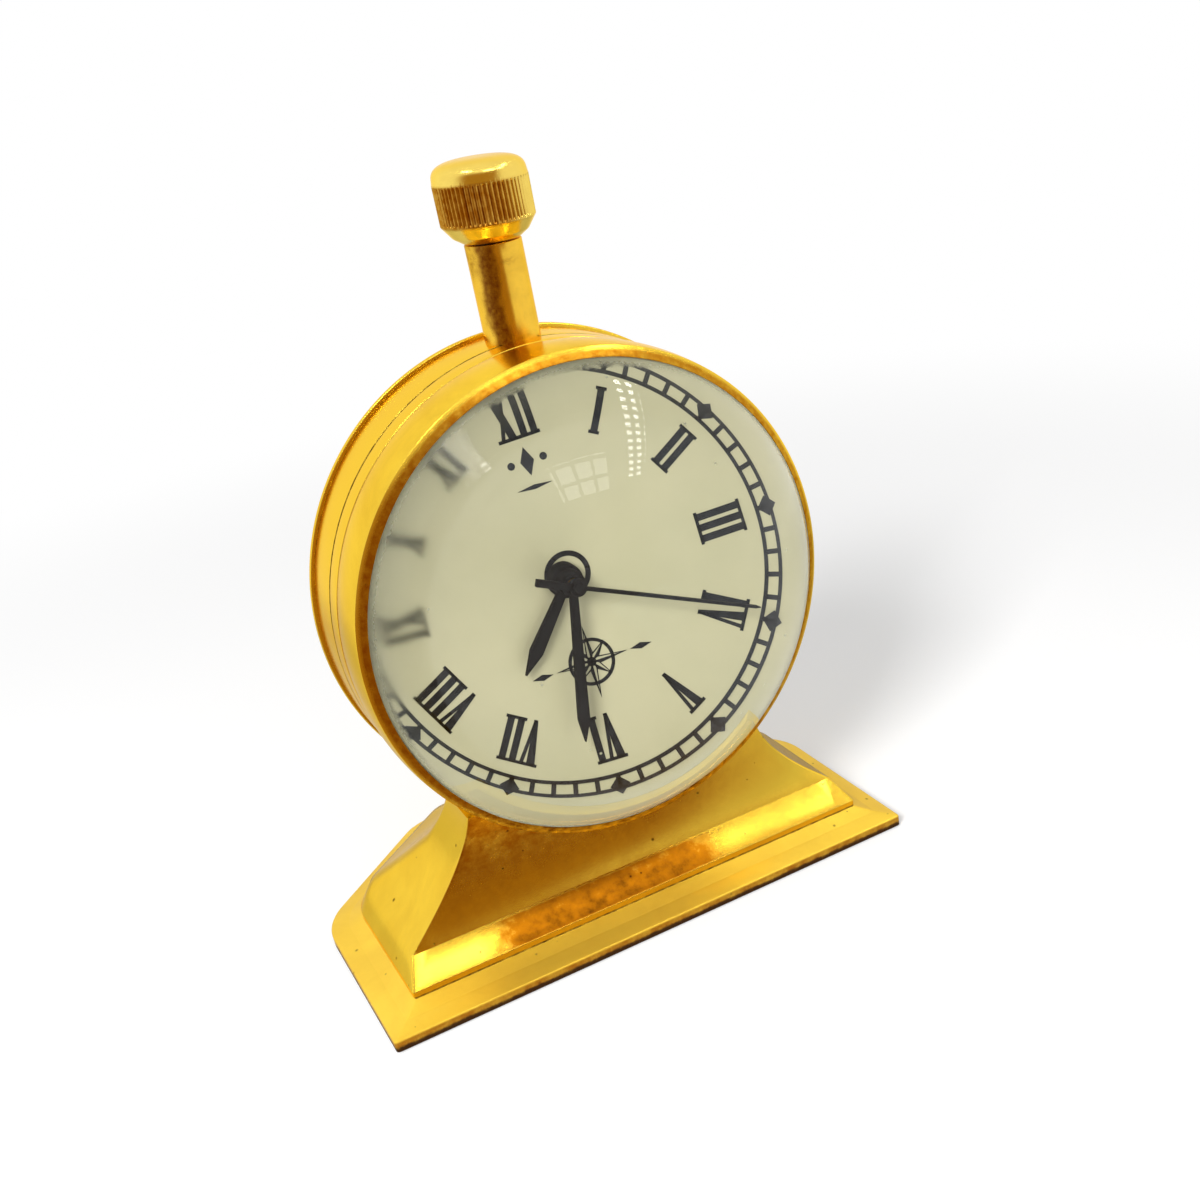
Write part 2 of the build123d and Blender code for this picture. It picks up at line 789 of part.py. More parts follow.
def make_main_plate():
    """The movement's main plate, bored for the arbors, the stem and the setting works."""
    plate_body = rod(plate_radius, plate_front_depth, plate_rear_depth)
    plate_body -= rod(centre_pipe_radius + running_clearance, 0, base_depth)
    hole = pivot_radius + running_clearance
    for x, z in train_arbors():
        plate_body -= rod(hole, plate_rear_depth - 0.9, base_depth, x, z)
        plate_body -= rod(arbor_radius + 0.2, plate_rear_depth - pivot_length, base_depth, x, z)
    for x, z in ((0, motion_distance), (0, setting_z)):
        plate_body -= rod(arbor_radius, 0, plate_front_depth + 1.2, x, z)
    room_width = 2 * (clutch_body_radius + 0.25)
    room_height = clutch_length + 0.6
    room = Pos(0, 0, drum_centre_height + clutch_bottom - 0.3 + room_height / 2)
    plate_body -= room * Box(room_width, base_depth * 2, room_height)
    stem_hole = stem_radius + running_clearance
    plate_body -= upright(stem_hole, drum_centre_height + setting_z - 1, drum_centre_height + 40, 0, tube_y)
    pin_x, pin_z = lever_pin_place()
    slot_height = knob_pull + 2 * lever_pin_radius + 0.8
    slot = Pos(pin_x, place(plate_front_depth).Y, drum_centre_height + pin_z + knob_pull / 2)
    plate_body -= slot * Box(2 * lever_pin_radius + 0.8, 2 * (stem_depth - plate_front_depth), slot_height)
    plate_body -= rod(arbor_radius, 0, plate_front_depth + 1.2, lever_arm, pin_z)
    return plate_body


def lever_pin_place():
    """Where the setting lever's pin stands in the stem's groove at rest."""
    return 0.0, clutch_top + lever_rise


def make_train_bridge():
    """The thin rear bridge over the train, on three pillars."""
    places = train_arbors() + [(0, 0)]
    rear = bridge_rear_depth
    width = 2 * bridge_margin
    bridge = rod(bridge_margin, bridge_front_depth, rear)
    for x, z in places + pillar_places():
        bridge += rod(bridge_margin, bridge_front_depth, rear, x, z)
        direction = math.degrees(math.atan2(z, x))
        length = math.hypot(x, z)
        if length > 0:
            bar = Rectangle(length, width)
            bridge += plate(bar, bridge_front_depth, bridge_thickness, x / 2, z / 2, direction)
    for x, z in pillar_places():
        bridge += rod(pillar_radius, plate_rear_depth, bridge_front_depth, x, z)
        bridge -= rod(bridge_screw_radius, bridge_rear_depth - bridge_screw_reach - 0.2, base_depth, x, z)
    for x, z in places:
        bridge -= rod(pivot_radius + running_clearance, 0, base_depth, x, z)
    return bridge


def make_bridge_screws():
    """Three screws down the bridge's pillars."""
    return [
        rear_screw(bridge_screw_head_radius, bridge_screw_head_height, bridge_screw_radius,
                   bridge_screw_reach, bridge_rear_depth, x, z, 40 * i)
        for i, (x, z) in enumerate(pillar_places())
    ]


def wheel(teeth, module, phase, front, thickness, x, z, bore):
    """A toothed wheel between two depths."""
    blank = gear_outline(teeth, module, phase)
    if bore:
        blank -= Circle(bore)
    return plate(blank, front, thickness, x, z)


def spoked(solid, teeth, module, front, x, z, hub):
    """The wheel with four openings between its spokes."""
    rim = teeth * module / 2 - 1.2 * module - 0.45
    ring = Circle(rim) - Circle(hub)
    ring -= Rectangle(2 * rim + 1, 0.5) + Rectangle(0.5, 2 * rim + 1)
    return solid - plate(ring, front - 0.1, wheel_thickness + 0.2, x, z)


def make_second_wheel():
    """Second wheel, its leaves and the long arbor that carries the second hand."""
    solid = rod(second_arbor_radius, second_hand_depth + hand_thickness, bridge_front_depth - 0.1)
    solid += rod(pivot_radius, second_hand_depth, bridge_rear_depth - 0.1)
    disc = wheel(second_teeth, step_module, second_phase, second_wheel_depth, wheel_thickness, 0, 0, 0)
    solid += spoked(disc, second_teeth, step_module, second_wheel_depth, 0, 0, 0.9)
    leaves = wheel(second_leaves, third_module, second_phase, second_wheel_depth + wheel_thickness,
                   pinion_thickness + 0.1, 0, 0, 0)
    return solid + leaves


def make_third_wheel():
    """Third wheel with its leaves, which drive the centre wheel."""
    solid = arbor(plate_rear_depth - 0.8, bridge_rear_depth - 0.1, third_x, third_z)
    disc = wheel(third_teeth, third_module, third_phase, third_wheel_depth, wheel_thickness,
                 third_x, third_z, 0)
    solid += spoked(disc, third_teeth, third_module, third_wheel_depth, third_x, third_z, 0.9)
    leaves = wheel(third_leaves, centre_module, third_phase, centre_wheel_depth - 0.1, pinion_thickness,
                   third_x, third_z, 0)
    return solid + leaves


def make_centre_wheel():
    """Centre wheel with the pipe that carries the cannon pinion."""
    disc = wheel(centre_teeth, centre_module, centre_phase, centre_wheel_depth, wheel_thickness, 0, 0, 0)
    solid = spoked(disc, centre_teeth, centre_module, centre_wheel_depth, 0, 0, 1.1)
    solid += rod(centre_pipe_radius, minute_hand_depth, centre_wheel_depth)
    return solid - rod(centre_pipe_bore, 0, base_depth)


def make_step_wheel():
    """The wheel that the rotor steps on, with leaves for the second wheel."""
    solid = arbor(plate_rear_depth - 0.8, bridge_rear_depth - 0.1, step_x, step_z)
    solid += wheel(step_teeth, rotor_module, step_leaf_phase, step_wheel_depth, wheel_thickness,
                   step_x, step_z, 0)
    leaves_front = second_wheel_depth - 0.1
    solid += wheel(step_leaves, step_module, step_leaf_phase, leaves_front, pinion_thickness,
                   step_x, step_z, 0)
    return solid


def make_rotor():
    """The rotor's magnet, arbor and leaves."""
    solid = arbor(plate_rear_depth - 0.8, bridge_rear_depth - 0.1, rotor_x, rotor_z)
    front = stator_depth - 0.1
    solid += rod(rotor_magnet_radius, front, front + rotor_magnet_height, rotor_x, rotor_z)
    solid += wheel(rotor_teeth, rotor_module, rotor_phase, step_wheel_depth - 0.1, 0.45,
                   rotor_x, rotor_z, 0)
    return solid


def make_stator():
    """The stator's plate round the rotor, with feet down to the coil's core."""
    hole = rotor_magnet_radius + stator_gap
    foot_x = coil_length / 2 + coil_foot_reach
    blank = Pos(rotor_x, rotor_z) * Circle(stator_width / 2)
    neck = rotor_z - stator_bar_level
    blank += Pos(rotor_x, rotor_z - neck / 2) * Rectangle(stator_width - 1, neck)
    blank += Pos(rotor_x, stator_bar_level) * Rectangle(2 * foot_x + stator_bar, stator_bar)
    for side in (-1, 1):
        x = rotor_x + side * foot_x
        drop = stator_bar_level - coil_level
        blank += Pos(x, coil_level + drop / 2) * Rectangle(stator_bar, drop)
        blank += Pos(x, coil_level) * Circle(coil_foot)
    blank -= Pos(rotor_x, rotor_z) * Circle(hole)
    return plate(blank, stator_depth, stator_thickness)


def make_coil_core():
    """The flat core under the coil, whose ends carry the stator."""
    foot_x = coil_length / 2 + coil_foot_reach
    core = Rectangle(2 * foot_x, coil_core_width)
    for side in (-1, 1):
        core += Pos(side * foot_x, 0) * Circle(coil_foot)
    middle = stator_depth + stator_thickness
    return plate(core, middle, 0.5, rotor_x, coil_level)


def make_coil_winding():
    """The wound coil, a bar with rounded sides between two cheeks."""
    axis_depth = stator_depth + stator_thickness + 0.25
    room = coil_core_width / 2 + 0.05
    section_plane = Plane(origin=place(axis_depth, rotor_x - coil_length / 2 + 0.3, coil_level),
                          x_dir=(0, 1, 0), z_dir=(1, 0, 0))
    hole = Rectangle(0.6, 2 * room)
    winding = extrude(section_plane * (RectangleRounded(1.7, 2.9, 0.6) - hole), amount=coil_length - 0.6)
    for start in (0, coil_length - 1.1):
        cheek_plane = section_plane.offset(start)
        winding += extrude(cheek_plane * (RectangleRounded(1.9, 3.3, 0.5) - hole), amount=0.5)
    return winding


def board_sector(inner, outer):
    """The circuit board's bowed outline, seen from the front."""
    start = polar(outer, board_start)
    middle = polar(outer, board_start + board_sweep / 2)
    end = polar(outer, board_start + board_sweep)
    inner_end = polar(inner, board_start + board_sweep)
    inner_middle = polar(inner, board_start + board_sweep / 2)
    inner_start = polar(inner, board_start)
    return make_face([
        ThreePointArc(start, middle, end),
        Line(end, inner_end),
        ThreePointArc(inner_end, inner_middle, inner_start),
        Line(inner_start, start),
    ])


def make_circuit_board():
    """The curved circuit board behind the main plate."""
    return plate(board_sector(board_inner, board_outer), plate_rear_depth, board_thickness)


def make_chip():
    """The oscillator's chip."""
    x, z = polar((board_inner + board_outer) / 2, board_start + board_sweep * 0.25)
    front = plate_rear_depth + board_thickness
    return plate(Rectangle(chip_size, chip_size), front, chip_height, x, z, board_start)


def make_crystal_can():
    """The crystal's metal can, lying on the board."""
    direction = board_start + board_sweep * 0.72
    x, z = polar((board_inner + board_outer) / 2, direction)
    depth = plate_rear_depth + board_thickness + crystal_radius
    a = math.radians(direction + 90)
    lie = Plane(origin=place(depth, x, z), x_dir=(0, 1, 0), z_dir=(math.cos(a), 0, math.sin(a)))
    can = extrude(lie * Circle(crystal_radius), amount=crystal_length / 2, both=True)
    return can


def make_battery():
    """The button cell."""
    edge = 0.2
    front = plate_rear_depth
    points = [
        (front, 0),
        (front, battery_radius - 0.7),
        (front + edge, battery_radius - 0.5),
        (front + edge, battery_radius),
        (front + battery_height, battery_radius),
        (front + battery_height, 0),
    ]
    return turned(points, battery_x, battery_z)


def make_battery_clip():
    """The spring strap over the button cell."""
    front = plate_rear_depth + battery_height
    strap = Rectangle(2 * battery_radius + 2.6, clip_width)
    clip = plate(strap, front, clip_thickness, battery_x, battery_z, 75)
    for side in (-1, 1):
        dx, dz = polar(battery_radius + 0.9, 75 + 90 * (1 - side))
        leg = Rectangle(clip_thickness, clip_width)
        clip += plate(leg, plate_rear_depth, battery_height + clip_thickness,
                      battery_x + dx, battery_z + dz, 75)
    return clip


def make_cannon_pinion():
    """The cannon pinion, whose pipe carries the minute hand."""
    seat = minute_hand_depth + hand_thickness + 0.2
    solid = rod(cannon_radius, seat, motion_wheel_depth + 0.55)
    solid += rod(cannon_radius - 0.15, minute_hand_depth + 0.05, seat)
    solid += wheel(cannon_teeth, cannon_module, cannon_phase, motion_wheel_depth - 0.05, pinion_thickness,
                   0, 0, 0)
    return solid - rod(cannon_bore, 0, base_depth)


def make_motion_wheel():
    """Minute-train wheel and leaves, turning on a post."""
    solid = wheel(motion_teeth, cannon_module, motion_phase, motion_wheel_depth, wheel_thickness + 0.1,
                  0, motion_distance, 0)
    leaves_thickness = motion_wheel_depth - hour_wheel_depth
    solid += wheel(motion_leaves, hour_module, motion_phase, hour_wheel_depth, leaves_thickness,
                   0, motion_distance, 0)
    return solid - rod(arbor_radius + running_clearance, 0, base_depth, 0, motion_distance)


def make_hour_wheel():
    """Hour wheel with the pipe that carries the hour hand."""
    disc = wheel(hour_teeth, hour_module, hour_phase, hour_wheel_depth, wheel_thickness, 0, 0, 0)
    solid = spoked(disc, hour_teeth, hour_module, hour_wheel_depth, 0, 0, 2.2)
    solid += rod(hour_pipe_radius, hour_hand_depth + hand_thickness, hour_wheel_depth)
    solid += rod(hour_pipe_radius - 0.15, hour_hand_depth + 0.05, hour_hand_depth + hand_thickness)
    return solid - rod(hour_bore, 0, base_depth)


def make_setting_wheel():
    """The wheel between the clutch and the motion wheel."""
    solid = wheel(setting_teeth, cannon_module, setting_phase, motion_wheel_depth, wheel_thickness + 0.1,
                  0, setting_z, 0)
    return solid - rod(arbor_radius + running_clearance, 0, base_depth, 0, setting_z)


def make_motion_posts():
    """Posts for the motion wheel, the setting wheel and the setting lever."""
    posts = []
    pin_x, pin_z = lever_pin_place()
    for x, z in ((0, motion_distance), (0, setting_z), (lever_arm, pin_z)):
        post = rod(arbor_radius, motion_wheel_depth - 0.2, plate_front_depth + 1.2, x, z)
        posts.append(post)
    return posts


def make_clutch_wheel():
    """The clutch with crown teeth towards the setting wheel, sliding on the stem's square."""
    body = upright(clutch_body_radius, clutch_bottom + clutch_tooth_height, clutch_top, 0, 0)
    body -= upright(clutch_body_radius + 1, clutch_bottom + 1.1, clutch_bottom + 1.6, 0, 0) - upright(
        clutch_body_radius - 0.5, clutch_bottom + 1.1, clutch_bottom + 1.6, 0, 0)
    pitch_angle = 360 / clutch_teeth
    inside = clutch_body_radius - clutch_tooth_width
    teeth = []
    for i in range(clutch_teeth):
        middle = pitch_angle * (i + 0.5) - 90
        corners = [
            polar(inside, middle - 0.2 * pitch_angle),
            polar(clutch_body_radius, middle - 0.2 * pitch_angle),
            polar(clutch_body_radius, middle + 0.2 * pitch_angle),
            polar(inside, middle + 0.2 * pitch_angle),
        ]
        teeth.append(make_face(Polyline(corners, close=True)))
    crown = Pos(0, 0, clutch_bottom) * Sketch(children=teeth)
    body += extrude(crown, amount=clutch_tooth_height + 0.05)
    hole = stem_square + 2 * running_clearance
    body -= Pos(0, 0, clutch_bottom + clutch_length / 2) * Box(hole, hole, 2 * clutch_length)
    return Pos(0, tube_y, drum_centre_height) * body


def make_setting_stem():
    """The stem from the knob to the clutch: round above, square below, with the lever's groove."""
    square_bottom = drum_centre_height + clutch_bottom + 0.25
    square_top = drum_centre_height + clutch_top + 0.3
    stem = upright(stem_radius, square_top, socket_top - 0.1, 0, tube_y)
    stem += Pos(0, tube_y, (square_bottom + square_top) / 2) * Box(
        stem_square, stem_square, square_top - square_bottom)
    pin_x, pin_z = lever_pin_place()
    middle = drum_centre_height + pin_z
    low = middle - stem_groove_width / 2
    groove = upright(stem_radius + 1, low, low + stem_groove_width, 0, tube_y)
    groove -= upright(stem_groove_radius, low, low + stem_groove_width, 0, tube_y)
    return stem - groove


def make_setting_lever():
    """The lever whose pin rides in the stem's groove."""
    pin_x, pin_z = lever_pin_place()
    front = plate_front_depth - 0.1 - lever_thickness
    length = lever_arm + lever_width / 2
    arm = Pos(length / 2, 0) * Rectangle(length, lever_width) + Circle(lever_width / 2)
    arm += Pos(lever_arm, 0) * Circle(lever_width / 2 + 0.2)
    arm += Pos(lever_arm, -lever_tail / 2) * Rectangle(lever_width * 0.8, lever_tail)
    arm -= Pos(lever_arm, 0) * Circle(arbor_radius + running_clearance)
    lever = plate(arm, front, lever_thickness, pin_x, pin_z)
    pin_end = stem_depth - stem_groove_radius - running_clearance
    return lever + rod(lever_pin_radius, front, pin_end, pin_x, pin_z)


def hand_plate(length, width, tail, hub, hole, depth, angle):
    """A pencil hand with a bevelled point, a tail and a round hub."""
    half = width / 2
    tip = min(2 * width, length / 4)
    outline = Polyline([
        (-half, -tail),
        (half, -tail),
        (half, length - tip),
        (0, length),
        (-half, length - tip),
    ], close=True)
    shape = make_face(outline) + Circle(hub) - Circle(hole)
    return plate(shape, depth, hand_thickness, turn=-angle)


def make_hour_hand():
    """Hour hand."""
    hole = hour_pipe_radius - 0.15
    return hand_plate(hour_hand_length, hour_hand_width, 0, hour_hub_radius, hole, hour_hand_depth,
                      hour_angle)


def make_minute_hand():
    """Minute hand."""
    hole = cannon_radius - 0.15
    return hand_plate(minute_hand_length, minute_hand_width, 0, minute_hub_radius, hole, minute_hand_depth,
                      minute_angle)


def make_second_hand():
    """Second hand with its tail and a small cap over the arbor."""
    solid = hand_plate(second_hand_length, second_hand_width, second_tail_length, second_hub_radius,
                       pivot_radius, second_hand_depth, second_angle)
    return solid + rod(second_hub_radius * 0.6, second_hand_depth - 0.25, second_hand_depth)


makers = {
    "base": make_base,
    "base_felt": make_base_felt,
    "base_screws": make_base_screws,
    "screw_strap": make_screw_strap,
    "drum_case": make_drum_case,
    "bezel": make_bezel,
    "lens": make_lens,
    "lens_gasket": make_lens_gasket,
    "dial_spacer": make_dial_spacer,
    "dial": make_dial,
    "back_cover": make_back_cover,
    "back_cover_screws": make_back_cover_screws,
    "stem_tube": make_stem_tube,
    "tube_nut": make_tube_nut,
    "knob": make_knob,
    "setting_stem": make_setting_stem,
    "movement_holder": make_movement_holder,
    "movement_clamps": make_movement_clamps,
    "clamp_screws": make_clamp_screws,
    "main_plate": make_main_plate,
    "motion_posts": make_motion_posts,
    "train_bridge": make_train_bridge,
    "bridge_screws": make_bridge_screws,
    "second_wheel": make_second_wheel,
    "third_wheel": make_third_wheel,
    "centre_wheel": make_centre_wheel,
    "step_wheel": make_step_wheel,
    "rotor": make_rotor,
    "stator": make_stator,
    "coil_core": make_coil_core,
    "coil_winding": make_coil_winding,
    "circuit_board": make_circuit_board,
    "chip": make_chip,
    "crystal_can": make_crystal_can,
    "battery": make_battery,
    "battery_clip": make_battery_clip,
    "cannon_pinion": make_cannon_pinion,
    "motion_wheel": make_motion_wheel,
    "hour_wheel": make_hour_wheel,
    "setting_wheel": make_setting_wheel,
    "clutch_wheel": make_clutch_wheel,
    "setting_lever": make_setting_lever,
    "hour_hand": make_hour_hand,
    "minute_hand": make_minute_hand,
    "second_hand": make_second_hand,
}

os.makedirs("parts", exist_ok=True)
for node, maker in makers.items():
    shape = maker()
    if isinstance(shape, list):
        shape = Compound(children=shape)
    export_step(shape, f"parts/{node}.step")
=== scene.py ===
# Looks of the brass desk clock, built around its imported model.
# Metres, Z up, the dial faces -Y. Sizes in the dictionaries are in millimetres.
import math

import bmesh
import bpy
from mathutils import Matrix, Vector


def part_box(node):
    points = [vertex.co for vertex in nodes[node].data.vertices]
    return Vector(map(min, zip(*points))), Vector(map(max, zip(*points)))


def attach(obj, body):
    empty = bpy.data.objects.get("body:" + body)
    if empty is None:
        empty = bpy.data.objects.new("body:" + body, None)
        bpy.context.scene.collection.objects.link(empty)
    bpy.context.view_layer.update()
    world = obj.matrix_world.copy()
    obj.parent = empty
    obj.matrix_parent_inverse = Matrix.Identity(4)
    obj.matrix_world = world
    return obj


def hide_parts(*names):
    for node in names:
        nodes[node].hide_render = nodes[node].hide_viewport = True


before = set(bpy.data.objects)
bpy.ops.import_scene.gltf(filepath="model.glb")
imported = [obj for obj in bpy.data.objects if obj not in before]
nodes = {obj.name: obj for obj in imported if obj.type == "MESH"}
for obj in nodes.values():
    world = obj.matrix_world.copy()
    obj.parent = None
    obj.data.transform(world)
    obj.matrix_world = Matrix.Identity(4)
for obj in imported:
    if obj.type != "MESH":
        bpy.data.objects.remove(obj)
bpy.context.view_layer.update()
mm = 0.001

# Places that every piece shares, taken from the frame
drumLow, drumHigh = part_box("drum_case")
bezelLow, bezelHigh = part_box("bezel")
tubeLow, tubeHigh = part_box("stem_tube")
knobLow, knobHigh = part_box("knob")
baseLow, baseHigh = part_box("base")
coverLow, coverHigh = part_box("back_cover")
dialLow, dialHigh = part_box("dial")
rimProjection = 1.0  # how far the bezel's rim stands in front of the drum's front edge
drumRadius = (drumHigh.x - drumLow.x) / 2 / mm
axisZ = (drumLow.z + drumHigh.z) / 2
rimY = bezelLow.y + rimProjection * mm  # depths are measured back from here
tubeY = (tubeLow.y + tubeHigh.y) / 2
drumDepth = (coverHigh.y - rimY) / mm
print("frame loaded:", len(nodes), "nodes")


# Small tools for outlines and meshes

def onDrum(depth, out, angle):  # a point round the drum's axis, angle clockwise from twelve
    return Vector((out * math.sin(angle) * mm, rimY + depth * mm, axisZ + out * math.cos(angle) * mm))


def onStem(level, out, angle):  # a point round the upright stem
    return Vector((out * math.cos(angle) * mm, tubeY + out * math.sin(angle) * mm, level * mm))


def onDial(x, z, depth):  # a point of the flat dial, seen from the front
    return Vector((x * mm, rimY + depth * mm, axisZ + z * mm))


# The points of a rounded corner between two neighbours, as a true arc
def cornerArc(before, here, after, size, steps):
    back = (before - here).normalized()
    ahead = (after - here).normalized()
    halfTurn = back.angle(ahead) / 2
    if size <= 0 or halfTurn > math.radians(89.5):
        return [here.copy()] * (steps + 1) if size > 0 else [here.copy()]
    room = 0.49 * min((before - here).length, (after - here).length)
    size = min(size, room * math.tan(halfTurn))
    reach = size / math.tan(halfTurn)
    centre = here + (back + ahead).normalized() * size / math.sin(halfTurn)
    start = here + back * reach - centre
    end = here + ahead * reach - centre
    sweep = math.atan2(start.x * end.y - start.y * end.x, start.dot(end))
    return [centre + Matrix.Rotation(sweep * i / steps, 2) @ start for i in range(steps + 1)]


# corners are (along, out, round); an open outline keeps its two ends sharp
def roundedOutline(corners, closed=True, steps=4):
    flat = [Vector(corner[:2]) for corner in corners]
    points = []
    for i, here in enumerate(flat):
        isEnd = not closed and i in (0, len(flat) - 1)
        size = 0 if isEnd else corners[i][2]
        points += cornerArc(flat[i - 1], here, flat[(i + 1) % len(flat)], size, steps)
    return points


def finishedPiece(name, mesh, sharpAngle=32):
    bmesh.ops.remove_doubles(mesh, verts=mesh.verts, dist=1e-7)
    bmesh.ops.recalc_face_normals(mesh, faces=mesh.faces)
    data = bpy.data.meshes.new(name)
    mesh.to_mesh(data)
    mesh.free()
    data.shade_smooth()
    data.set_sharp_from_angle(angle=math.radians(sharpAngle))
    piece = bpy.data.objects.new(name, data)
    bpy.context.scene.collection.objects.link(piece)
    return piece


# Turns an outline of (along, out) points round an axis; out 0 closes on a pole
def spun(name, outline, place, segments, closed=True, sharpAngle=32):
    mesh = bmesh.new()
    rings = []
    for point in outline:
        count = 1 if point.y < 1e-6 else segments
        turn = [2 * math.pi * k / segments for k in range(count)]
        rings.append([mesh.verts.new(place(point.x, point.y, angle)) for angle in turn])
    pairs = list(zip(rings, rings[1:]))
    if closed:
        pairs.append((rings[-1], rings[0]))
    for low, high in pairs:
        for k in range(segments):
            n = k + 1
            face = [low[k % len(low)], high[k % len(high)], high[n % len(high)], low[n % len(low)]]
            distinct = list(dict.fromkeys(face))
            if len(distinct) > 2:
                mesh.faces.new(distinct)
    return finishedPiece(name, mesh, sharpAngle)


# Walls between two loops of vertices
def addWalls(mesh, front, rear):
    for k in range(len(front)):
        n = (k + 1) % len(front)
        mesh.faces.new([front[n], front[k], rear[k], rear[n]])


# A flat shape with a front and a rear outline
def addPrism(mesh, frontSpots, rearSpots):
    front = [mesh.verts.new(spot) for spot in frontSpots]
    rear = [mesh.verts.new(spot) for spot in rearSpots]
    mesh.faces.new(front)
    mesh.faces.new(rear[::-1])
    addWalls(mesh, front, rear)


# Front, rear and outer radius of a round piece's box
def boxSpan(low, high):
    return (low.y - rimY) / mm, (high.y - rimY) / mm, (high.x - low.x) / 2 / mm


# Cuts, joins or limits a piece with others, then removes them
def carved(piece, cutters, operation="DIFFERENCE"):
    for cutter in cutters:
        step = piece.modifiers.new("carve", "BOOLEAN")
        step.operation = operation
        step.solver = "EXACT"
        step.object = cutter
    plain = plainMesh(piece)
    for cutter in cutters:
        bpy.data.objects.remove(cutter)
    return plain


# Replaces an object's mesh by its evaluated one and drops the modifiers
def plainMesh(piece, sharpAngle=32):
    bpy.context.view_layer.update()
    evaluated = piece.evaluated_get(bpy.context.evaluated_depsgraph_get())
    data = bpy.data.meshes.new_from_object(evaluated)
    piece.modifiers.clear()
    piece.data = data
    data.name = piece.name
    data.shade_smooth()
    data.set_sharp_from_angle(angle=math.radians(sharpAngle))
    return piece


# Gives a piece its finish and its body, and hides the nodes it stands for; its slot is not used
def settle(piece, material, body, slot, *replaced):
    piece.data.materials.clear()
    piece.data.materials.append(material)
    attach(piece, body)
    if replaced:
        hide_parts(*replaced)
    return piece


# Shader tools

def putNode(tree, kind, inputs=None, **settings):
    made = tree.nodes.new(kind)
    for key, value in settings.items():
        setattr(made, key, value)
    for socket, value in (inputs or {}).items():
        if isinstance(value, bpy.types.NodeSocket):
            tree.links.new(value, made.inputs[socket])
        else:
            made.inputs[socket].default_value = value
    return made


def calc(tree, operation, a, b=0.0, clamp=False):
    return putNode(tree, "ShaderNodeMath", {0: a, 1: b}, operation=operation, use_clamp=clamp).outputs[0]


def chained(operation):  # one kind of sum over two or more values, from the left
    def run(tree, *values, clamp=False):
        result = values[0]
        for value in values[1:]:
            result = calc(tree, operation, result, value, clamp)
        return result
    return run


plus = chained("ADD")
minus = chained("SUBTRACT")
times = chained("MULTIPLY")
largest = chained("MAXIMUM")


def vectorStep(tree, operation, a, b=(0, 0, 0)):
    return putNode(tree, "ShaderNodeVectorMath", {0: a, 1: b}, operation=operation).outputs


def apartXYZ(tree, vector):
    return putNode(tree, "ShaderNodeSeparateXYZ", {0: vector}).outputs


def mixColour(tree, factor, a, b):
    return putNode(tree, "ShaderNodeMix", {0: factor, 6: a, 7: b}, data_type="RGBA").outputs[2]


def spread(tree, value, low, high, toLow=0.0, toHigh=1.0):  # a smooth step between two values
    sockets = {"Value": value, "From Min": low, "From Max": high, "To Min": toLow, "To Max": toHigh}
    return putNode(tree, "ShaderNodeMapRange", sockets, interpolation_type="SMOOTHSTEP").outputs[0]


def spreadMm(tree, place, ends, toLow=0.0, toHigh=1.0):  # the same between two places in millimetres
    return spread(tree, place, ends[0] * mm, ends[1] * mm, toLow, toHigh)


def within(tree, value, low, high, fade, unit=mm):  # 1 between two places, 0 outside
    low, high, fade = low * unit, high * unit, fade * unit
    return times(tree, spread(tree, value, low - fade, low), spread(tree, value, high + fade, high))


def noise(tree, vector, scale, detail=4.0, roughness=0.55, distortion=0.0):
    sockets = {"Vector": vector, "Scale": scale, "Detail": detail, "Roughness": roughness,
               "Distortion": distortion}
    return putNode(tree, "ShaderNodeTexNoise", sockets).outputs["Fac"]


def cellsAndLuck(tree, place, scale):  # distance to the nearest cell's middle, and a random value per cell
    cells = putNode(tree, "ShaderNodeTexVoronoi", {"Vector": place, "Scale": scale}).outputs
    return cells["Distance"], putNode(tree, "ShaderNodeSeparateColor", {0: cells["Color"]}).outputs[0]


def objectPlace(tree):
    return putNode(tree, "ShaderNodeTexCoord").outputs["Object"]


def addSockets(tree, way, *wanted):  # each has a name, a kind and perhaps a first value
    for name, kind, *first in wanted:
        socket = tree.interface.new_socket(name, in_out=way, socket_type="NodeSocket" + kind)
        if first:
            socket.default_value = first[0]


def newMaterial(name, metallic=0.0):
    material = bpy.data.materials.new(name)
    material.use_nodes = True
    shader = material.node_tree.nodes["Principled BSDF"]
    shader.inputs["Metallic"].default_value = metallic
    return material, material.node_tree, shader


def feed(tree, node, **sources):  # sets or links inputs; _ stands for a space in their names
    for socket, value in sources.items():
        target = node.inputs[socket.replace("_", " ")]
        if isinstance(value, bpy.types.NodeSocket):
            tree.links.new(value, target)
        else:
            target.default_value = value


# Metal that was polished by hand and has aged: stains, pits, fine scratches; its stain mask and grime inputs
# also take painted shade and painted dark reflection
agedLook = {"stainStart": 0.74, "stainReach": 0.36, "stainFade": 0.16, "fineFactor": 9.0, "pitRim": 0.07,
            "pitFloor": 0.03, "pitDirt": 0.85, "warmShare": 0.22, "crustAndShade": (0.65, 1.15), "crustGrain": 0.7,
            "dirtAndShade": (0.05, 0.017, 0.004, 1), "dirtRoughness": 0.3, "scratchScale": 1400.0,
            "scratchRoughness": 0.1, "broadRelief": 3.0, "bump": 0.35, "bumpReach": 0.06}


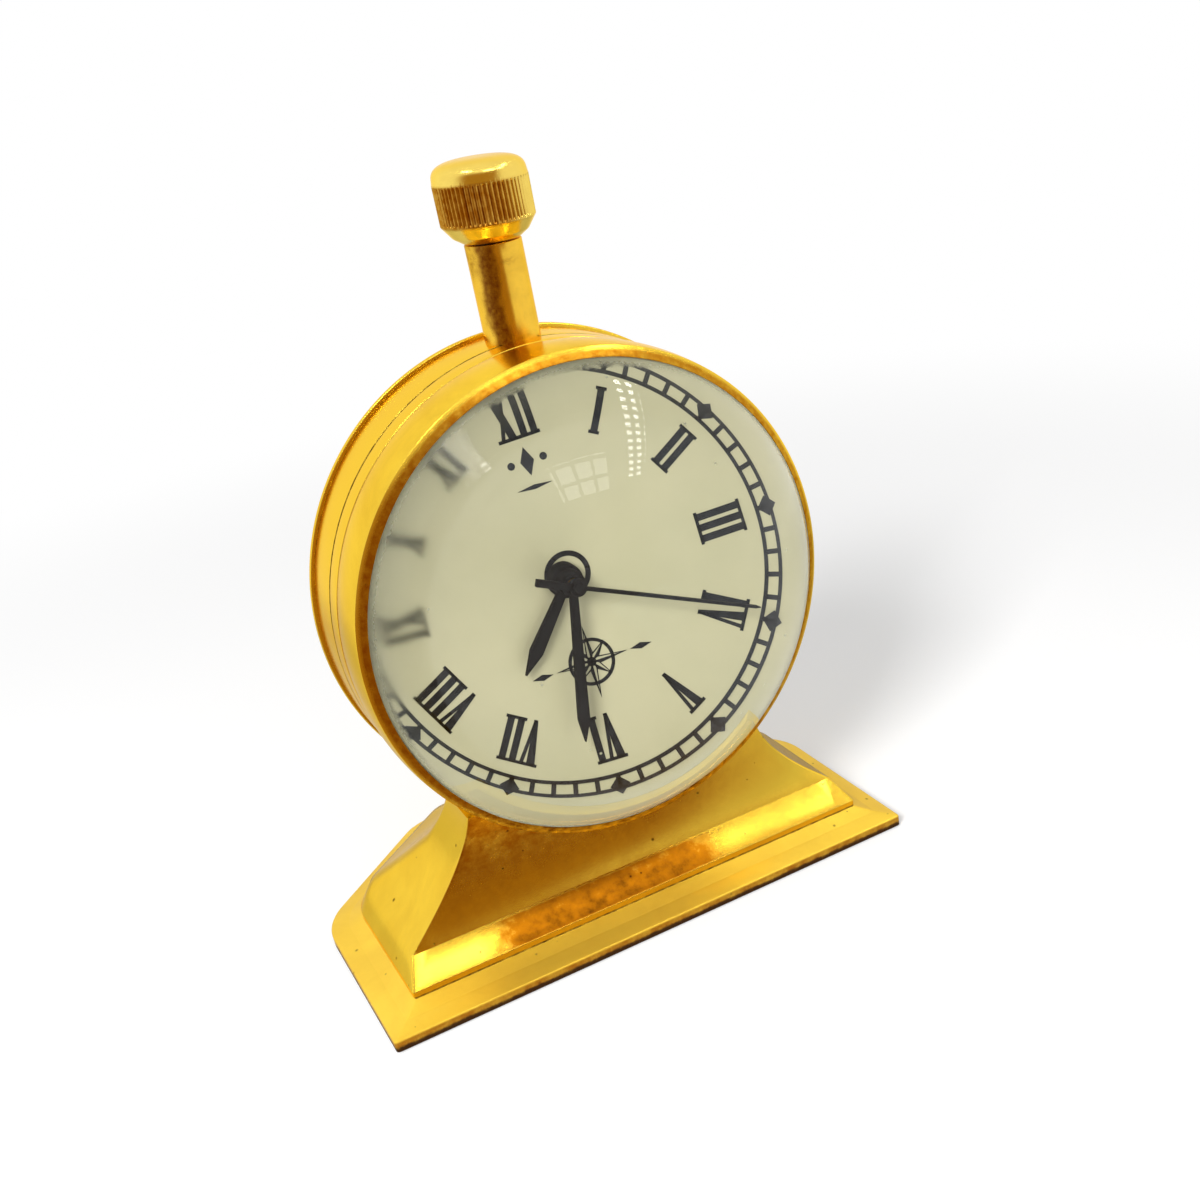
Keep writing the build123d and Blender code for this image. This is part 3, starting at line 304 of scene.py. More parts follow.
def agedAndShadedMetalGroup():
    look = agedLook
    group = bpy.data.node_groups.new("agedMetal", "ShaderNodeTree")
    addSockets(group, "INPUT", ("Polished", "Color", (0.9, 0.6, 0.15, 1)),
               ("Tarnished", "Color", (0.3, 0.12, 0.02, 1)), ("Stain Scale", "Float", 60.0),
               ("Stain Cover", "Float", 0.3), ("Stain Mask", "Float", 0.0), ("Grime", "Float", 0.0),
               ("Pit Scale", "Float", 320.0), ("Pit Cover", "Float", 0.1), ("Shine", "Float", 0.2),
               ("Dullness", "Float", 0.45), ("Grain", "Float", 0.2))
    addSockets(group, "OUTPUT", ("Color", "Color"), ("Roughness", "Float"), ("Normal", "Vector"))
    given = group.nodes.new("NodeGroupInput").outputs
    place = objectPlace(group)
    broad = noise(group, place, given["Stain Scale"], 6.0, 0.62, 0.5)
    fine = noise(group, place, times(group, given["Stain Scale"], look["fineFactor"]), 5.0, 0.7)
    threshold = minus(group, look["stainStart"], times(group, given["Stain Cover"], look["stainReach"]))
    patches = spread(group, broad, threshold, plus(group, threshold, look["stainFade"]))
    ragged = spread(group, fine, 0.25, 0.7, 0.55, 1.0)
    # the stain mask brings painted shade and painted dark reflection along with real stains
    masked = times(group, given["Stain Mask"], ragged)
    stainAndShade = largest(group, times(group, patches, ragged), masked, clamp=True)
    distance, luck = cellsAndLuck(group, place, given["Pit Scale"])
    chosen = calc(group, "LESS_THAN", luck, given["Pit Cover"])
    hollow = spread(group, distance, plus(group, luck, look["pitRim"]), look["pitFloor"])
    pits = times(group, hollow, chosen, clamp=True)
    warm = mixColour(group, spread(group, broad, 0.3, 0.7, 0.0, look["warmShare"]), given["Polished"],
                     given["Tarnished"])
    aged = mixColour(group, stainAndShade, warm, given["Tarnished"])
    # the grime input brings painted shade along with real grime
    crustAndShade = spread(group, plus(group, given["Grime"], times(group, fine, look["crustGrain"])), *look["crustAndShade"])
    dirtAndShade = largest(group, times(group, pits, look["pitDirt"]), crustAndShade)
    scratches = noise(group, place, look["scratchScale"], 2.0, 0.6, 1.5)
    worn = times(group, minus(group, scratches, 0.5), look["scratchRoughness"])
    rough = putNode(group, "ShaderNodeMix", {0: stainAndShade, 2: given["Shine"], 3: given["Dullness"]}).outputs[0]
    rough = plus(group, plus(group, rough, worn), times(group, dirtAndShade, look["dirtRoughness"]), clamp=True)
    height = minus(group, times(group, scratches, given["Grain"]), pits)
    height = plus(group, height, times(group, broad, times(group, given["Grain"], look["broadRelief"])))
    bump = putNode(group, "ShaderNodeBump", {"Height": height, "Strength": look["bump"],
                                             "Distance": look["bumpReach"] * mm})
    feed(group, group.nodes.new("NodeGroupOutput"), Color=mixColour(group, dirtAndShade, aged, look["dirtAndShade"]),
         Roughness=rough, Normal=bump.outputs[0])
    return group


agedMetal = agedAndShadedMetalGroup()

brassTones = {
    "polished": (0.98, 0.67, 0.065, 1),
    # the brown of tarnish, and of painted shade and painted dark reflection
    "tarnishedAndShaded": (0.42, 0.145, 0.004, 1),
    "rosy": (0.94, 0.52, 0.07, 1),
    "deep": (0.22, 0.07, 0.01, 1),
    "pale": (0.90, 0.66, 0.22, 1),
    "light": (1.0, 0.76, 0.16, 1),
    "orange": (0.98, 0.60, 0.06, 1),
    "edge": (1.0, 0.84, 0.48, 1),
}


# A brass material; builders make the sockets that vary over a piece, such as its grime and its painted shade
def brassMaterial(name, values, **builders):
    material, tree, shader = newMaterial(name, 1.0)
    worn = tree.nodes.new("ShaderNodeGroup")
    worn.node_tree = agedMetal
    feed(tree, worn, Polished=brassTones[values.get("tone", "polished")],
         Tarnished=brassTones[values.get("stainTone", "tarnishedAndShaded")], Stain_Scale=values["stainScale"],
         Stain_Cover=values["stainCover"], Pit_Scale=values.get("pitScale", 320.0),
         Pit_Cover=values["pitCover"], Shine=values["shine"], Dullness=values["dullness"],
         Grain=values.get("grain", 0.2))
    feed(tree, worn, **{socket: build(tree) for socket, build in builders.items()})
    feed(tree, shader, Base_Color=worn.outputs["Color"], Roughness=worn.outputs["Roughness"],
         Normal=worn.outputs["Normal"], Specular_Tint=brassTones["edge"])
    return material


# Base: painted shade and painted dark reflection brown the front of the pedestal; its plinth's edge is
# browned and goes nearly black at the bottom
baseFinish = {"stainScale": 55.0, "stainCover": 0.12, "pitCover": 0.2, "pitScale": 520.0,
              "shine": 0.18, "dullness": 0.34, "grain": 0.3}
# Pairs are the places between which a mark comes on; a third number is its fade
frontShadeMarks = {"facing": (0.35, 0.8), "cove": (9.0, 21.0), "least": 0.2, "most": 1.0, "right": (4.0, 30.0),
               "rightShare": 0.1, "edge": (2.3, 1.9), "stretchAlong": (-20.0, 8.0, 11.0),
               "stretchUp": (5.5, 8.4, 0.4), "stretchShadeBrown": 1.7, "stretchShadeBlack": 0.45,
               "corner": (4.0, 4.35, 0.15), "cornerShadeBlack": 0.6, "lower": (2.0, 0.7), "lowerDarkening": 0.85,
               "slope": (4.5, 4.0), "slopeShine": 0.34, "slopeMetal": 0.6}


def objectAxes(tree):
    return apartXYZ(tree, objectPlace(tree))


def baseAxes(tree):  # how far a point faces the front, and its place
    facing = putNode(tree, "ShaderNodeTexCoord").outputs["Normal"]
    forward = vectorStep(tree, "DOT_PRODUCT", facing, (0, -1, 0))["Value"]
    return spread(tree, forward, *frontShadeMarks["facing"]), objectAxes(tree)


# painted shade and painted dark reflection: a length of the band below the cove is browned
def shadedStretch(tree, apart):  # the brown length of the band below the cove
    return times(tree, within(tree, apart["X"], *frontShadeMarks["stretchAlong"]),
                 within(tree, apart["Z"], *frontShadeMarks["stretchUp"]))


def baseShadeBrown(tree):
    # painted shade and painted dark reflection: faces turned to the front brown more up the cove and towards
    # the left; the plinth's edge is browned below 1.9 mm
    look = frontShadeMarks
    ahead, apart = baseAxes(tree)
    up = spreadMm(tree, apart["Z"], look["cove"], look["least"], look["most"])
    fading = spreadMm(tree, apart["X"], look["right"], 1.0, look["rightShare"])
    stretch = times(tree, ahead, shadedStretch(tree, apart), look["stretchShadeBrown"])
    return largest(tree, times(tree, ahead, up, fading), spreadMm(tree, apart["Z"], look["edge"]), stretch)


def baseShadeAndDarkening(tree):
    # painted shade: the brown band and the corner at the riser's foot go dark where they face the front; the
    # plinth's edge also gets darker towards the bottom
    look = frontShadeMarks
    ahead, apart = baseAxes(tree)
    corner = within(tree, apart["Z"], *look["corner"])
    lower = spreadMm(tree, apart["Z"], look["lower"], 0.0, look["lowerDarkening"])
    marks = largest(tree, times(tree, shadedStretch(tree, apart), look["stretchShadeBlack"]),
                    times(tree, corner, look["cornerShadeBlack"]))
    return largest(tree, times(tree, marks, ahead), lower)


def baseMetal(tree):  # only partly metallic on the sloping border, to even out what it mirrors
    return spreadMm(tree, objectAxes(tree)["Z"], frontShadeMarks["slope"], 1.0, frontShadeMarks["slopeMetal"])


def baseShine(tree):  # the sloping border is duller than the rest
    return spreadMm(tree, objectAxes(tree)["Z"], frontShadeMarks["slope"], baseFinish["shine"],
                    frontShadeMarks["slopeShine"])


# Drum, bezel, tube and knob: where each is browned or dirty, and where painted shade darkens the drum's
# underside and the knob's left side
drumShadeAndMarks = {"under": (6.0, 30.0), "underShadeBrown": 0.75, "underShadeBlack": 0.6, "rimDepth": (0.05, 0.25),
              "rimInner": (0.25, 0.7), "rimLeast": 0.25, "grooves": (8.1, 11.7, 19.6), "grooveHalf": 0.15,
              "grooveFade": 0.25, "grooveGrimeAndUnderShade": 0.68}
stripeLook = {"from": -2.9, "to": -1.9, "fade": 0.9, "wanderScale": 260.0, "wander": 2.4}
knurlSideShade = {"above": 2.4, "tall": 4.6, "fade": 0.5, "side": (4.2, -0.5), "least": 0.1}


def fromAxis(tree):  # a point's place, counted from the drum's axis
    return vectorStep(tree, "SUBTRACT", objectPlace(tree), (0, 0, axisZ))[0]


def drumOut(tree):  # distance from the drum's axis
    flat = vectorStep(tree, "MULTIPLY", fromAxis(tree), (1, 0, 1))[0]
    return vectorStep(tree, "LENGTH", flat)["Value"]


def drumUnderShade(tree):
    # painted shade: the drum browns towards its underside
    low, high = drumShadeAndMarks["under"]
    return spread(tree, objectAxes(tree)["Z"], axisZ - low * mm, axisZ - high * mm, 0.0,
                  drumShadeAndMarks["underShadeBrown"])


# the rim's browning, together with the painted shade of the underside
def rimBrownAndUnderShade(tree):  # the slanted rim round the glass is the brownest
    near, far = drumShadeAndMarks["rimDepth"]
    front = spread(tree, objectAxes(tree)["Y"], rimY - near * mm, rimY - far * mm)
    edges = [drumRadius - inset for inset in drumShadeAndMarks["rimInner"]]
    inner = spreadMm(tree, drumOut(tree), edges, drumShadeAndMarks["rimLeast"], 1.0)
    return largest(tree, times(tree, front, inner), drumUnderShade(tree))


# dark groove lines, and painted shade going dark towards the underside
def grooveGrimeAndUnderShade(tree):  # dark lines where the turned bands meet
    look = drumShadeAndMarks
    apart = objectAxes(tree)
    middles = [rimY / mm + depth for depth in look["grooves"]]
    lines = [within(tree, apart["Y"], middle - look["grooveHalf"], middle + look["grooveHalf"],
                    look["grooveFade"]) for middle in middles]
    return largest(tree, times(tree, largest(tree, *lines), look["grooveGrimeAndUnderShade"]),
                   times(tree, drumUnderShade(tree), look["underShadeBlack"]))


def tubeStripe(tree):  # a dark streak down the tube, left of its front
    look = stripeLook
    apart = objectAxes(tree)
    waves = noise(tree, objectPlace(tree), look["wanderScale"], 3.0)
    across = plus(tree, apart["X"], times(tree, minus(tree, waves, 0.5), look["wander"] * mm))
    stripe = within(tree, across, look["from"], look["to"], look["fade"])
    return times(tree, stripe, calc(tree, "LESS_THAN", apart["Y"], tubeY))


# painted shade: the knurl is browner towards its left side
def knobSideShade(tree):  # the left of the knurl is browner
    look = knurlSideShade
    apart = objectAxes(tree)
    low = knobLow.z / mm + look["above"]
    knurl = within(tree, apart["Z"], low, low + look["tall"], look["fade"])
    return times(tree, knurl, spreadMm(tree, apart["X"], look["side"], look["least"], 1.0))


baseBrass = brassMaterial("baseBrass", baseFinish, Stain_Mask=baseShadeBrown, Grime=baseShadeAndDarkening, Shine=baseShine)
baseTree = baseBrass.node_tree
feed(baseTree, baseTree.nodes["Principled BSDF"], Metallic=baseMetal(baseTree))
bezelBrass = brassMaterial("bezelBrass", {"stainScale": 90.0, "stainCover": 0.2, "pitCover": 0.05,
                                          "shine": 0.2, "dullness": 0.34}, Stain_Mask=rimBrownAndUnderShade,
                           Grime=grooveGrimeAndUnderShade)
drumBrass = brassMaterial("drumBrass", {"stainScale": 45.0, "stainCover": 0.42, "pitCover": 0.05,
                                        "shine": 0.2, "dullness": 0.3, "stainTone": "rosy"},
                          Stain_Mask=drumUnderShade, Grime=grooveGrimeAndUnderShade)
coverBrass = brassMaterial("coverBrass", {"stainScale": 60.0, "stainCover": 0.3, "pitCover": 0.05,
                                          "shine": 0.26, "dullness": 0.42})
tubeBrass = brassMaterial("tubeBrass", {"tone": "orange", "stainScale": 150.0, "stainCover": 0.3,
                                        "pitCover": 0.08, "shine": 0.22, "dullness": 0.38,
                                        "stainTone": "deep"}, Stain_Mask=tubeStripe)
knobBrass = brassMaterial("knobBrass", {"tone": "light", "stainScale": 110.0, "stainCover": 0.02,
                                        "pitCover": 0.03, "shine": 0.2, "dullness": 0.36},
                          Stain_Mask=knobSideShade)
wheelBrass = brassMaterial("wheelBrass", {"tone": "pale", "stainScale": 300.0, "stainCover": 0.1,
                                          "pitCover": 0.0, "shine": 0.28, "dullness": 0.4, "grain": 0.1})


# Plain finishes: a colour that varies a little, with a fine grain
def mottledMaterial(name, light, dark, scale, low, high, grain, metallic=0.0):
    material, tree, shader = newMaterial(name, metallic)
    place = objectPlace(tree)
    broad = noise(tree, place, scale, 4.0, 0.6)
    fine = noise(tree, place, scale * 12, 3.0, 0.6)
    colour = mixColour(tree, spread(tree, broad, 0.3, 0.7), light + (1,), dark + (1,))
    bump = putNode(tree, "ShaderNodeBump", {"Height": fine, "Strength": grain, "Distance": 0.05 * mm})
    feed(tree, shader, Base_Color=colour, Roughness=spread(tree, fine, 0.2, 0.8, low, high),
         Normal=bump.outputs[0])
    return material


dialPaint = mottledMaterial("dialPaint", (0.53, 0.495, 0.31), (0.48, 0.455, 0.28), 60.0, 0.4, 0.55, 0.05)
dialInk = mottledMaterial("dialInk", (0.008, 0.009, 0.011), (0.02, 0.021, 0.024), 900.0, 0.7, 0.85, 0.1)
handBlack = mottledMaterial("handBlack", (0.005, 0.005, 0.006), (0.01, 0.01, 0.011), 400.0, 0.45, 0.6, 0.05)
for dull in (dialInk, handBlack):
    dull.node_tree.nodes["Principled BSDF"].inputs["Specular IOR Level"].default_value = 0.06
spacerPaint = mottledMaterial("spacerPaint", (0.72, 0.70, 0.54), (0.62, 0.60, 0.44), 120.0, 0.35, 0.5, 0.05)
gasketRubber = mottledMaterial("gasketRubber", (0.66, 0.65, 0.5), (0.55, 0.54, 0.4), 200.0, 0.5, 0.65, 0.1)
feltGreen = mottledMaterial("feltGreen", (0.02, 0.07, 0.035), (0.035, 0.1, 0.055), 900.0, 0.9, 1.0, 1.0)
steelFinish = mottledMaterial("steelFinish", (0.58, 0.57, 0.55), (0.48, 0.47, 0.46), 500.0, 0.22, 0.36, 0.1,
                              1.0)
holderPlastic = mottledMaterial("holderPlastic", (0.80, 0.79, 0.74), (0.74, 0.73, 0.68), 200.0, 0.45, 0.6,
                                0.1)
boardGreen = mottledMaterial("boardGreen", (0.03, 0.2, 0.08), (0.02, 0.14, 0.06), 400.0, 0.25, 0.4, 0.1)
chipBlack = mottledMaterial("chipBlack", (0.02, 0.02, 0.02), (0.03, 0.03, 0.03), 900.0, 0.5, 0.65, 0.2)
magnetGrey = mottledMaterial("magnetGrey", (0.16, 0.16, 0.17), (0.11, 0.11, 0.12), 900.0, 0.35, 0.5, 0.2, 1.0)


def copperWinding():  # fine enamelled turns, drawn by waves along the coil
    material, tree, shader = newMaterial("copperWire", 1.0)
    bands = putNode(tree, "ShaderNodeTexWave", {"Vector": objectPlace(tree), "Scale": 1600.0,
                                                "Distortion": 0.4}).outputs["Fac"]
    bump = putNode(tree, "ShaderNodeBump", {"Height": bands, "Distance": 0.05 * mm})
    # the bands draw the turns; their dark parts are painted shade between the turns
    feed(tree, shader, Base_Color=mixColour(tree, bands, (0.22, 0.06, 0.02, 1), (0.78, 0.33, 0.13, 1)),
         Roughness=spread(tree, bands, 0, 1, 0.5, 0.28), Normal=bump.outputs[0])
    return material


copperWire = copperWinding()

lensFinish = {"ground": (32.6, 33.8), "groundRoughness": 0.35, "chipScale": 1500.0, "chip": 0.8,
              "haze": (24.0, 29.0), "hazeRoughness": 0.17, "hazeWay": (-0.87, 0, 0.50), "speckScale": 420.0,
              "speckShare": 0.07, "speckEdge": (0.1, 0.04), "speckRoughness": 0.8,
              "colour": (0.985, 0.995, 0.985, 1), "tint": (0.4, 0.4, 0.4, 1)}


def lensGlass():  # clear, with a rough ground edge, a hazy upper left and small specks
    look = lensFinish
    material, tree, shader = newMaterial("lensGlass")
    place = objectPlace(tree)
    ragged = times(tree, noise(tree, place, look["chipScale"], 3.0), look["chip"] * mm)
    edge = spreadMm(tree, plus(tree, drumOut(tree), ragged), look["ground"])
    aside = vectorStep(tree, "DOT_PRODUCT", fromAxis(tree), look["hazeWay"])["Value"]
    haze = spreadMm(tree, plus(tree, aside, ragged), look["haze"])
    distance, luck = cellsAndLuck(tree, place, look["speckScale"])
    specks = times(tree, calc(tree, "LESS_THAN", luck, look["speckShare"]),
                   spread(tree, distance, *look["speckEdge"]))
    shares = ((edge, "groundRoughness"), (haze, "hazeRoughness"), (specks, "speckRoughness"))
    rough = largest(tree, *[times(tree, mask, look[share]) for mask, share in shares])
    feed(tree, shader, Transmission_Weight=1.0, IOR=1.5, Base_Color=look["colour"], Roughness=rough,
         Specular_Tint=look["tint"])
    return material


lensClear = lensGlass()
print("materials built:", len(bpy.data.materials))


# Drum, bezel, cover and the rings behind the glass

bezelShape = {"rear": 8.2, "bore": 34.03, "rimLand": 33.6, "swell": 0.25, "swellSteps": 16, "groove": 0.3,
              "grooveHalf": 0.25, "edgeRound": 0.12, "frontRound": 0.25, "seat": -0.44, "lip": 0.2,
              "lipRound": 0.05}
caseShape = {"front": 3.2, "spigot": 34.0, "bore": 32.6, "beadStart": 8.2, "beadEnd": 11.7, "rear": 19.6,
             "groove": 0.3, "grooveHalf": 0.25, "wall": 1.6, "ledgeFront": 11.0, "ledgeRear": 12.0,
             "ledgeBore": 30.5, "edgeRound": 0.12, "grooveRound": 0.05}
coverShape = {"lip": 0.9, "overhang": 0.5, "step": 1.2, "slope": 0.4, "sink": 0.3, "thickness": 0.8,
              "spigot": 1.4, "play": 0.03, "round": 0.3, "rimRound": 0.35, "spigotRound": 0.1}
gasketShape = {"front": 2.6, "rear": 3.2, "inner": 31.9, "outer": 34.0, "round": 0.1}
spacerShape = {"wall": 0.5, "round": 0.1}
lensShape = {"chamfer": 0.5, "edgeDepth": -0.4, "backRound": 0.15, "rings": 64, "segments": 192,
             "sharpAngle": 20}
dialShape = {"hole": 1.45, "round": 0.05}
drumSegments = 256


def swollenBand(front, rear, radius, swell, steps):  # a gently crowned stretch of the outside
    shares = [i / steps for i in range(1, steps)]
    return [(front + (rear - front) * t, radius + swell * 4 * t * (1 - t), 0) for t in shares]


def flatRing(name, front, rear, inner, outer, innerRound, outerRound=0):
    corners = [(front, inner, innerRound), (front, outer, outerRound), (rear, outer, outerRound),
               (rear, inner, innerRound)]
    return spun(name, roundedOutline(corners), onDrum, drumSegments)


def makeBezel():
    s = bezelShape
    rear = s["rear"] - s["grooveHalf"]
    outline = [(-rimProjection, s["rimLand"], s["edgeRound"]), (0, drumRadius, s["frontRound"])]
    outline += swollenBand(0, rear, drumRadius, s["swell"], s["swellSteps"])
    outline += [
        (rear, drumRadius, s["edgeRound"]),
        (s["rear"], drumRadius - s["groove"], 0),
        (s["rear"], s["bore"], 0),
        (s["seat"], s["bore"], 0),
        (-rimProjection + s["lip"], s["rimLand"], s["lipRound"]),
    ]
    piece = spun("bezelRing", roundedOutline(outline), onDrum, drumSegments)
    return settle(piece, bezelBrass, "clock_case", "polished_brass", "bezel")


def makeDrumCase():
    s = caseShape
    low = drumRadius - s["groove"]
    half = s["grooveHalf"]
    inner = drumRadius - s["wall"]
    outside = [(s["beadStart"] + half, s["beadEnd"] - half, s["beadEnd"]),
               (s["beadEnd"] + half, s["rear"] - half, s["rear"])]
    outline = [(s["front"], s["spigot"], 0), (s["beadStart"], s["spigot"], 0),
               (s["beadStart"], low, s["grooveRound"])]
    for front, rear, groove in outside:
        outline += [(front, drumRadius, s["edgeRound"]), (rear, drumRadius, s["edgeRound"]),
                    (groove, low, s["grooveRound"])]
    outline += [(s["rear"], inner, 0), (s["ledgeRear"], inner, 0), (s["ledgeRear"], s["ledgeBore"], 0),
                (s["ledgeFront"], s["ledgeBore"], 0), (s["ledgeFront"], s["bore"], 0),
                (s["front"], s["bore"], 0)]
    piece = spun("drumTube", roundedOutline(outline), onDrum, drumSegments)
    return settle(piece, drumBrass, "clock_case", "polished_brass", "drum_case")


def makeBackCover():
    s = coverShape
    front = drumDepth - s["lip"]
    outer = drumRadius + s["overhang"]
    bore = drumRadius - caseShape["wall"] - s["play"]
    outline = [
        (drumDepth - s["sink"], 0, 0),
        (drumDepth - s["sink"], drumRadius - s["step"] - s["slope"], s["round"]),
        (drumDepth, drumRadius - s["step"], s["round"]),
        (drumDepth, outer, s["rimRound"]),
        (front, outer, s["round"]),
        (front, bore, 0),
        (front - s["spigot"], bore, s["spigotRound"]),
        (front - s["spigot"], bore - s["spigot"], s["spigotRound"]),
        (drumDepth - s["thickness"], bore - s["spigot"], s["round"]),
        (drumDepth - s["thickness"], 0, 0),
    ]
    piece = spun("backCover", roundedOutline(outline, closed=False), onDrum, drumSegments, closed=False)
    return settle(piece, coverBrass, "clock_case", "polished_brass", "back_cover")


def makeGasket():
    s = gasketShape
    piece = flatRing("lensGasket", s["front"], s["rear"], s["inner"], s["outer"], s["round"], s["round"])
    return settle(piece, gasketRubber, "clock_case", "gasket_rubber", "lens_gasket")


def makeSpacer():
    s = spacerShape
    front, rear, outer = boxSpan(*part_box("dial_spacer"))
    piece = flatRing("dialSpacer", front, rear, outer - s["wall"], outer, s["round"])
    return settle(piece, spacerPaint, "clock_case", "polished_brass", "dial_spacer")


def makeLens():
    s = lensShape
    apex, back, radius = boxSpan(*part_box("lens"))
    edge = radius - s["chamfer"]
    rise = s["edgeDepth"] - s["chamfer"] - apex
    ball = (edge ** 2 + rise ** 2) / (2 * rise)  # radius of the dome's sphere
    opening = math.asin(edge / ball)
    turns = [opening * i / s["rings"] for i in range(s["rings"] + 1)]
    outline = [Vector((apex + ball * (1 - math.cos(a)), ball * math.sin(a))) for a in turns]
    outline[0].y = 0.0
    outline += [Vector((s["edgeDepth"], radius)), Vector((back - s["backRound"], radius)),
                Vector((back, radius - s["backRound"])), Vector((back, 0.0))]
    piece = spun("domedLens", outline, onDrum, s["segments"], closed=False, sharpAngle=s["sharpAngle"])
    piece.visible_shadow = False  # light reaches the dial through the glass
    return settle(piece, lensClear, "clock_case", "glass", "lens")


def makeDial():
    s = dialShape
    front, rear, outer = boxSpan(dialLow, dialHigh)
    piece = flatRing("dialPlate", front, rear, s["hole"], outer, s["round"])
    return settle(piece, dialPaint, "clock_case", "dial_paint", "dial")


makeBezel()
makeDrumCase()
makeBackCover()
makeGasket()
makeSpacer()
makeDial()
makeLens()
print("drum, bezel and glass built")


# Opens a Geometry Nodes tree that also takes a finish, and gives its inputs
def openTree(name, *wanted):
    tree = bpy.data.node_groups.new(name, "GeometryNodeTree")
    addSockets(tree, "INPUT", *wanted, ("Finish", "Material"))
    addSockets(tree, "OUTPUT", ("Geometry", "Geometry"))
    return tree, tree.nodes.new("NodeGroupInput").outputs


# Ends such a tree: plain geometry in its finish goes out
def closeTree(tree, made, finish):
    real = putNode(tree, "GeometryNodeRealizeInstances", {"Geometry": made})
    coated = putNode(tree, "GeometryNodeSetMaterial", {"Geometry": real.outputs[0], "Material": finish})
    tree.links.new(coated.outputs[0], tree.nodes.new("NodeGroupOutput").inputs[0])
    return tree


# Geometry Nodes: copies of one small piece round the drum's axis
def ringTree():
    tree, given = openTree("ringOfPieces", ("Piece", "Object"), ("Count", "Int"), ("Radius", "Float"),
                           ("First Angle", "Float"), ("Loose Turn", "Float"), ("Seed", "Int"),
                           ("Centre", "Vector"))
    points = putNode(tree, "GeometryNodeMeshLine", {"Count": given["Count"], "Offset": (0, 0, 0)})
    index = tree.nodes.new("GeometryNodeInputIndex").outputs[0]
    step = calc(tree, "DIVIDE", 2 * math.pi, given["Count"])
    angle = plus(tree, given["First Angle"], times(tree, index, step))
    sideways = times(tree, given["Radius"], calc(tree, "SINE", angle))
    upwards = times(tree, given["Radius"], calc(tree, "COSINE", angle))
    spot = putNode(tree, "ShaderNodeCombineXYZ", {"X": sideways, "Z": upwards})
    moved = vectorStep(tree, "ADD", spot.outputs[0], given["Centre"])[0]
    placed = putNode(tree, "GeometryNodeSetPosition", {"Geometry": points.outputs[0], "Position": moved})
    chance = putNode(tree, "FunctionNodeRandomValue", {"Seed": given["Seed"]})
    loose = times(tree, given["Loose Turn"], chance.outputs[1])
    turned = putNode(tree, "ShaderNodeCombineXYZ", {"Y": plus(tree, angle, loose)})
    rotation = putNode(tree, "FunctionNodeEulerToRotation", {0: turned.outputs[0]})
    source = putNode(tree, "GeometryNodeObjectInfo", {"Object": given["Piece"]})
    copies = putNode(tree, "GeometryNodeInstanceOnPoints", {
        "Points": placed.outputs[0], "Instance": source.outputs["Geometry"], "Rotation": rotation.outputs[0]})
    return closeTree(tree, copies.outputs[0], given["Finish"])


ringOfPieces = ringTree()


def setInputs(modifier, values):
    sockets = {item.name: item.identifier for item in modifier.node_group.interface.items_tree
               if item.in_out == "INPUT"}
    for name, value in values.items():
        modifier[sockets[name]] = value


# A plain mesh of copies of a small piece, which is then removed
def ringOf(name, piece, count, radius, depth, material, firstAngle=0.0, looseTurn=0.0, seed=3):
    host = bpy.data.objects.new(name, bpy.data.meshes.new(name))
    step = host.modifiers.new("ring", "NODES")
    step.node_group = ringOfPieces
    setInputs(step, {"Piece": piece, "Count": count, "Radius": radius * mm, "First Angle": firstAngle,
                     "Loose Turn": looseTurn, "Seed": seed, "Centre": (0, rimY + depth * mm, axisZ),
                     "Finish": material})
    bpy.context.scene.collection.objects.link(host)
    plainMesh(host)
    bpy.data.objects.remove(piece)
    return host


def joined(name, pieces):
    mesh = bmesh.new()
    for piece in pieces:
        mesh.from_mesh(piece.data)
        bpy.data.objects.remove(piece)
    return finishedPiece(name, mesh)


# Dial print: numerals with their feet to the centre, a railway track and two small ornaments

printShape = {"depth": 10.56, "ink": 0.05, "turn": -2.4, "trackIn": 21.8, "trackOut": 23.35, "line": 0.42,
              "bar": 0.5, "lozengeLow": 21.9, "lozengeHigh": 24.1, "lozengeHalf": 1.1, "ringIn": 1.95,
              "ringOut": 2.5, "ringAside": (0.75, 0.0), "lineSegments": 240, "ringSegments": 96}
numeralShape = {"foot": 15.2, "height": 5.0, "wide": 0.74, "thin": 0.4, "serif": 0.34,
                "room": {"I": 1.14, "V": 2.15, "X": 2.3}, "inset": 0.2, "thinInset": 0.3,
                "footV": (-0.12, 0.3), "thinFootV": (-0.05, 0.25), "broadV": 1.25, "broadX": 1.15}
numeralWords = ("XII", "I", "II", "III", "IV", "V", "VI", "VII", "VIII", "IX", "X", "XI")
roseShape = {"x": 1.1, "z": -9.6, "long": 3.9, "short": 2.6, "waist": 1.0, "ringIn": 2.15, "ringOut": 2.5,
             "ringSegments": 72, "hub": 0.5, "hubSegments": 32, "dotCore": 0.01, "tipShare": 0.86,
             "edgeShare": 0.78, "barFrom": 4.3, "barTo": 6.6, "barHalf": 0.32}
sprigShape = {"radius": 12.7, "half": 0.75, "tall": 1.55, "dotSide": 1.8, "dot": 0.4, "dotSegments": 24,
              "ruleAt": 9.9, "ruleHalf": 1.9, "ruleThick": 0.24}


# A flat shape of ink, from points seen from the front
def addInk(mesh, points):
    front = printShape["depth"]
    rear = front + printShape["ink"]
    addPrism(mesh, [onDial(x, z, front) for x, z in points], [onDial(x, z, rear) for x, z in points])


def roundAbout(x, z, out, angle):  # a point of the dial round another, clockwise from twelve
    return x + out * math.sin(angle), z + out * math.cos(angle)


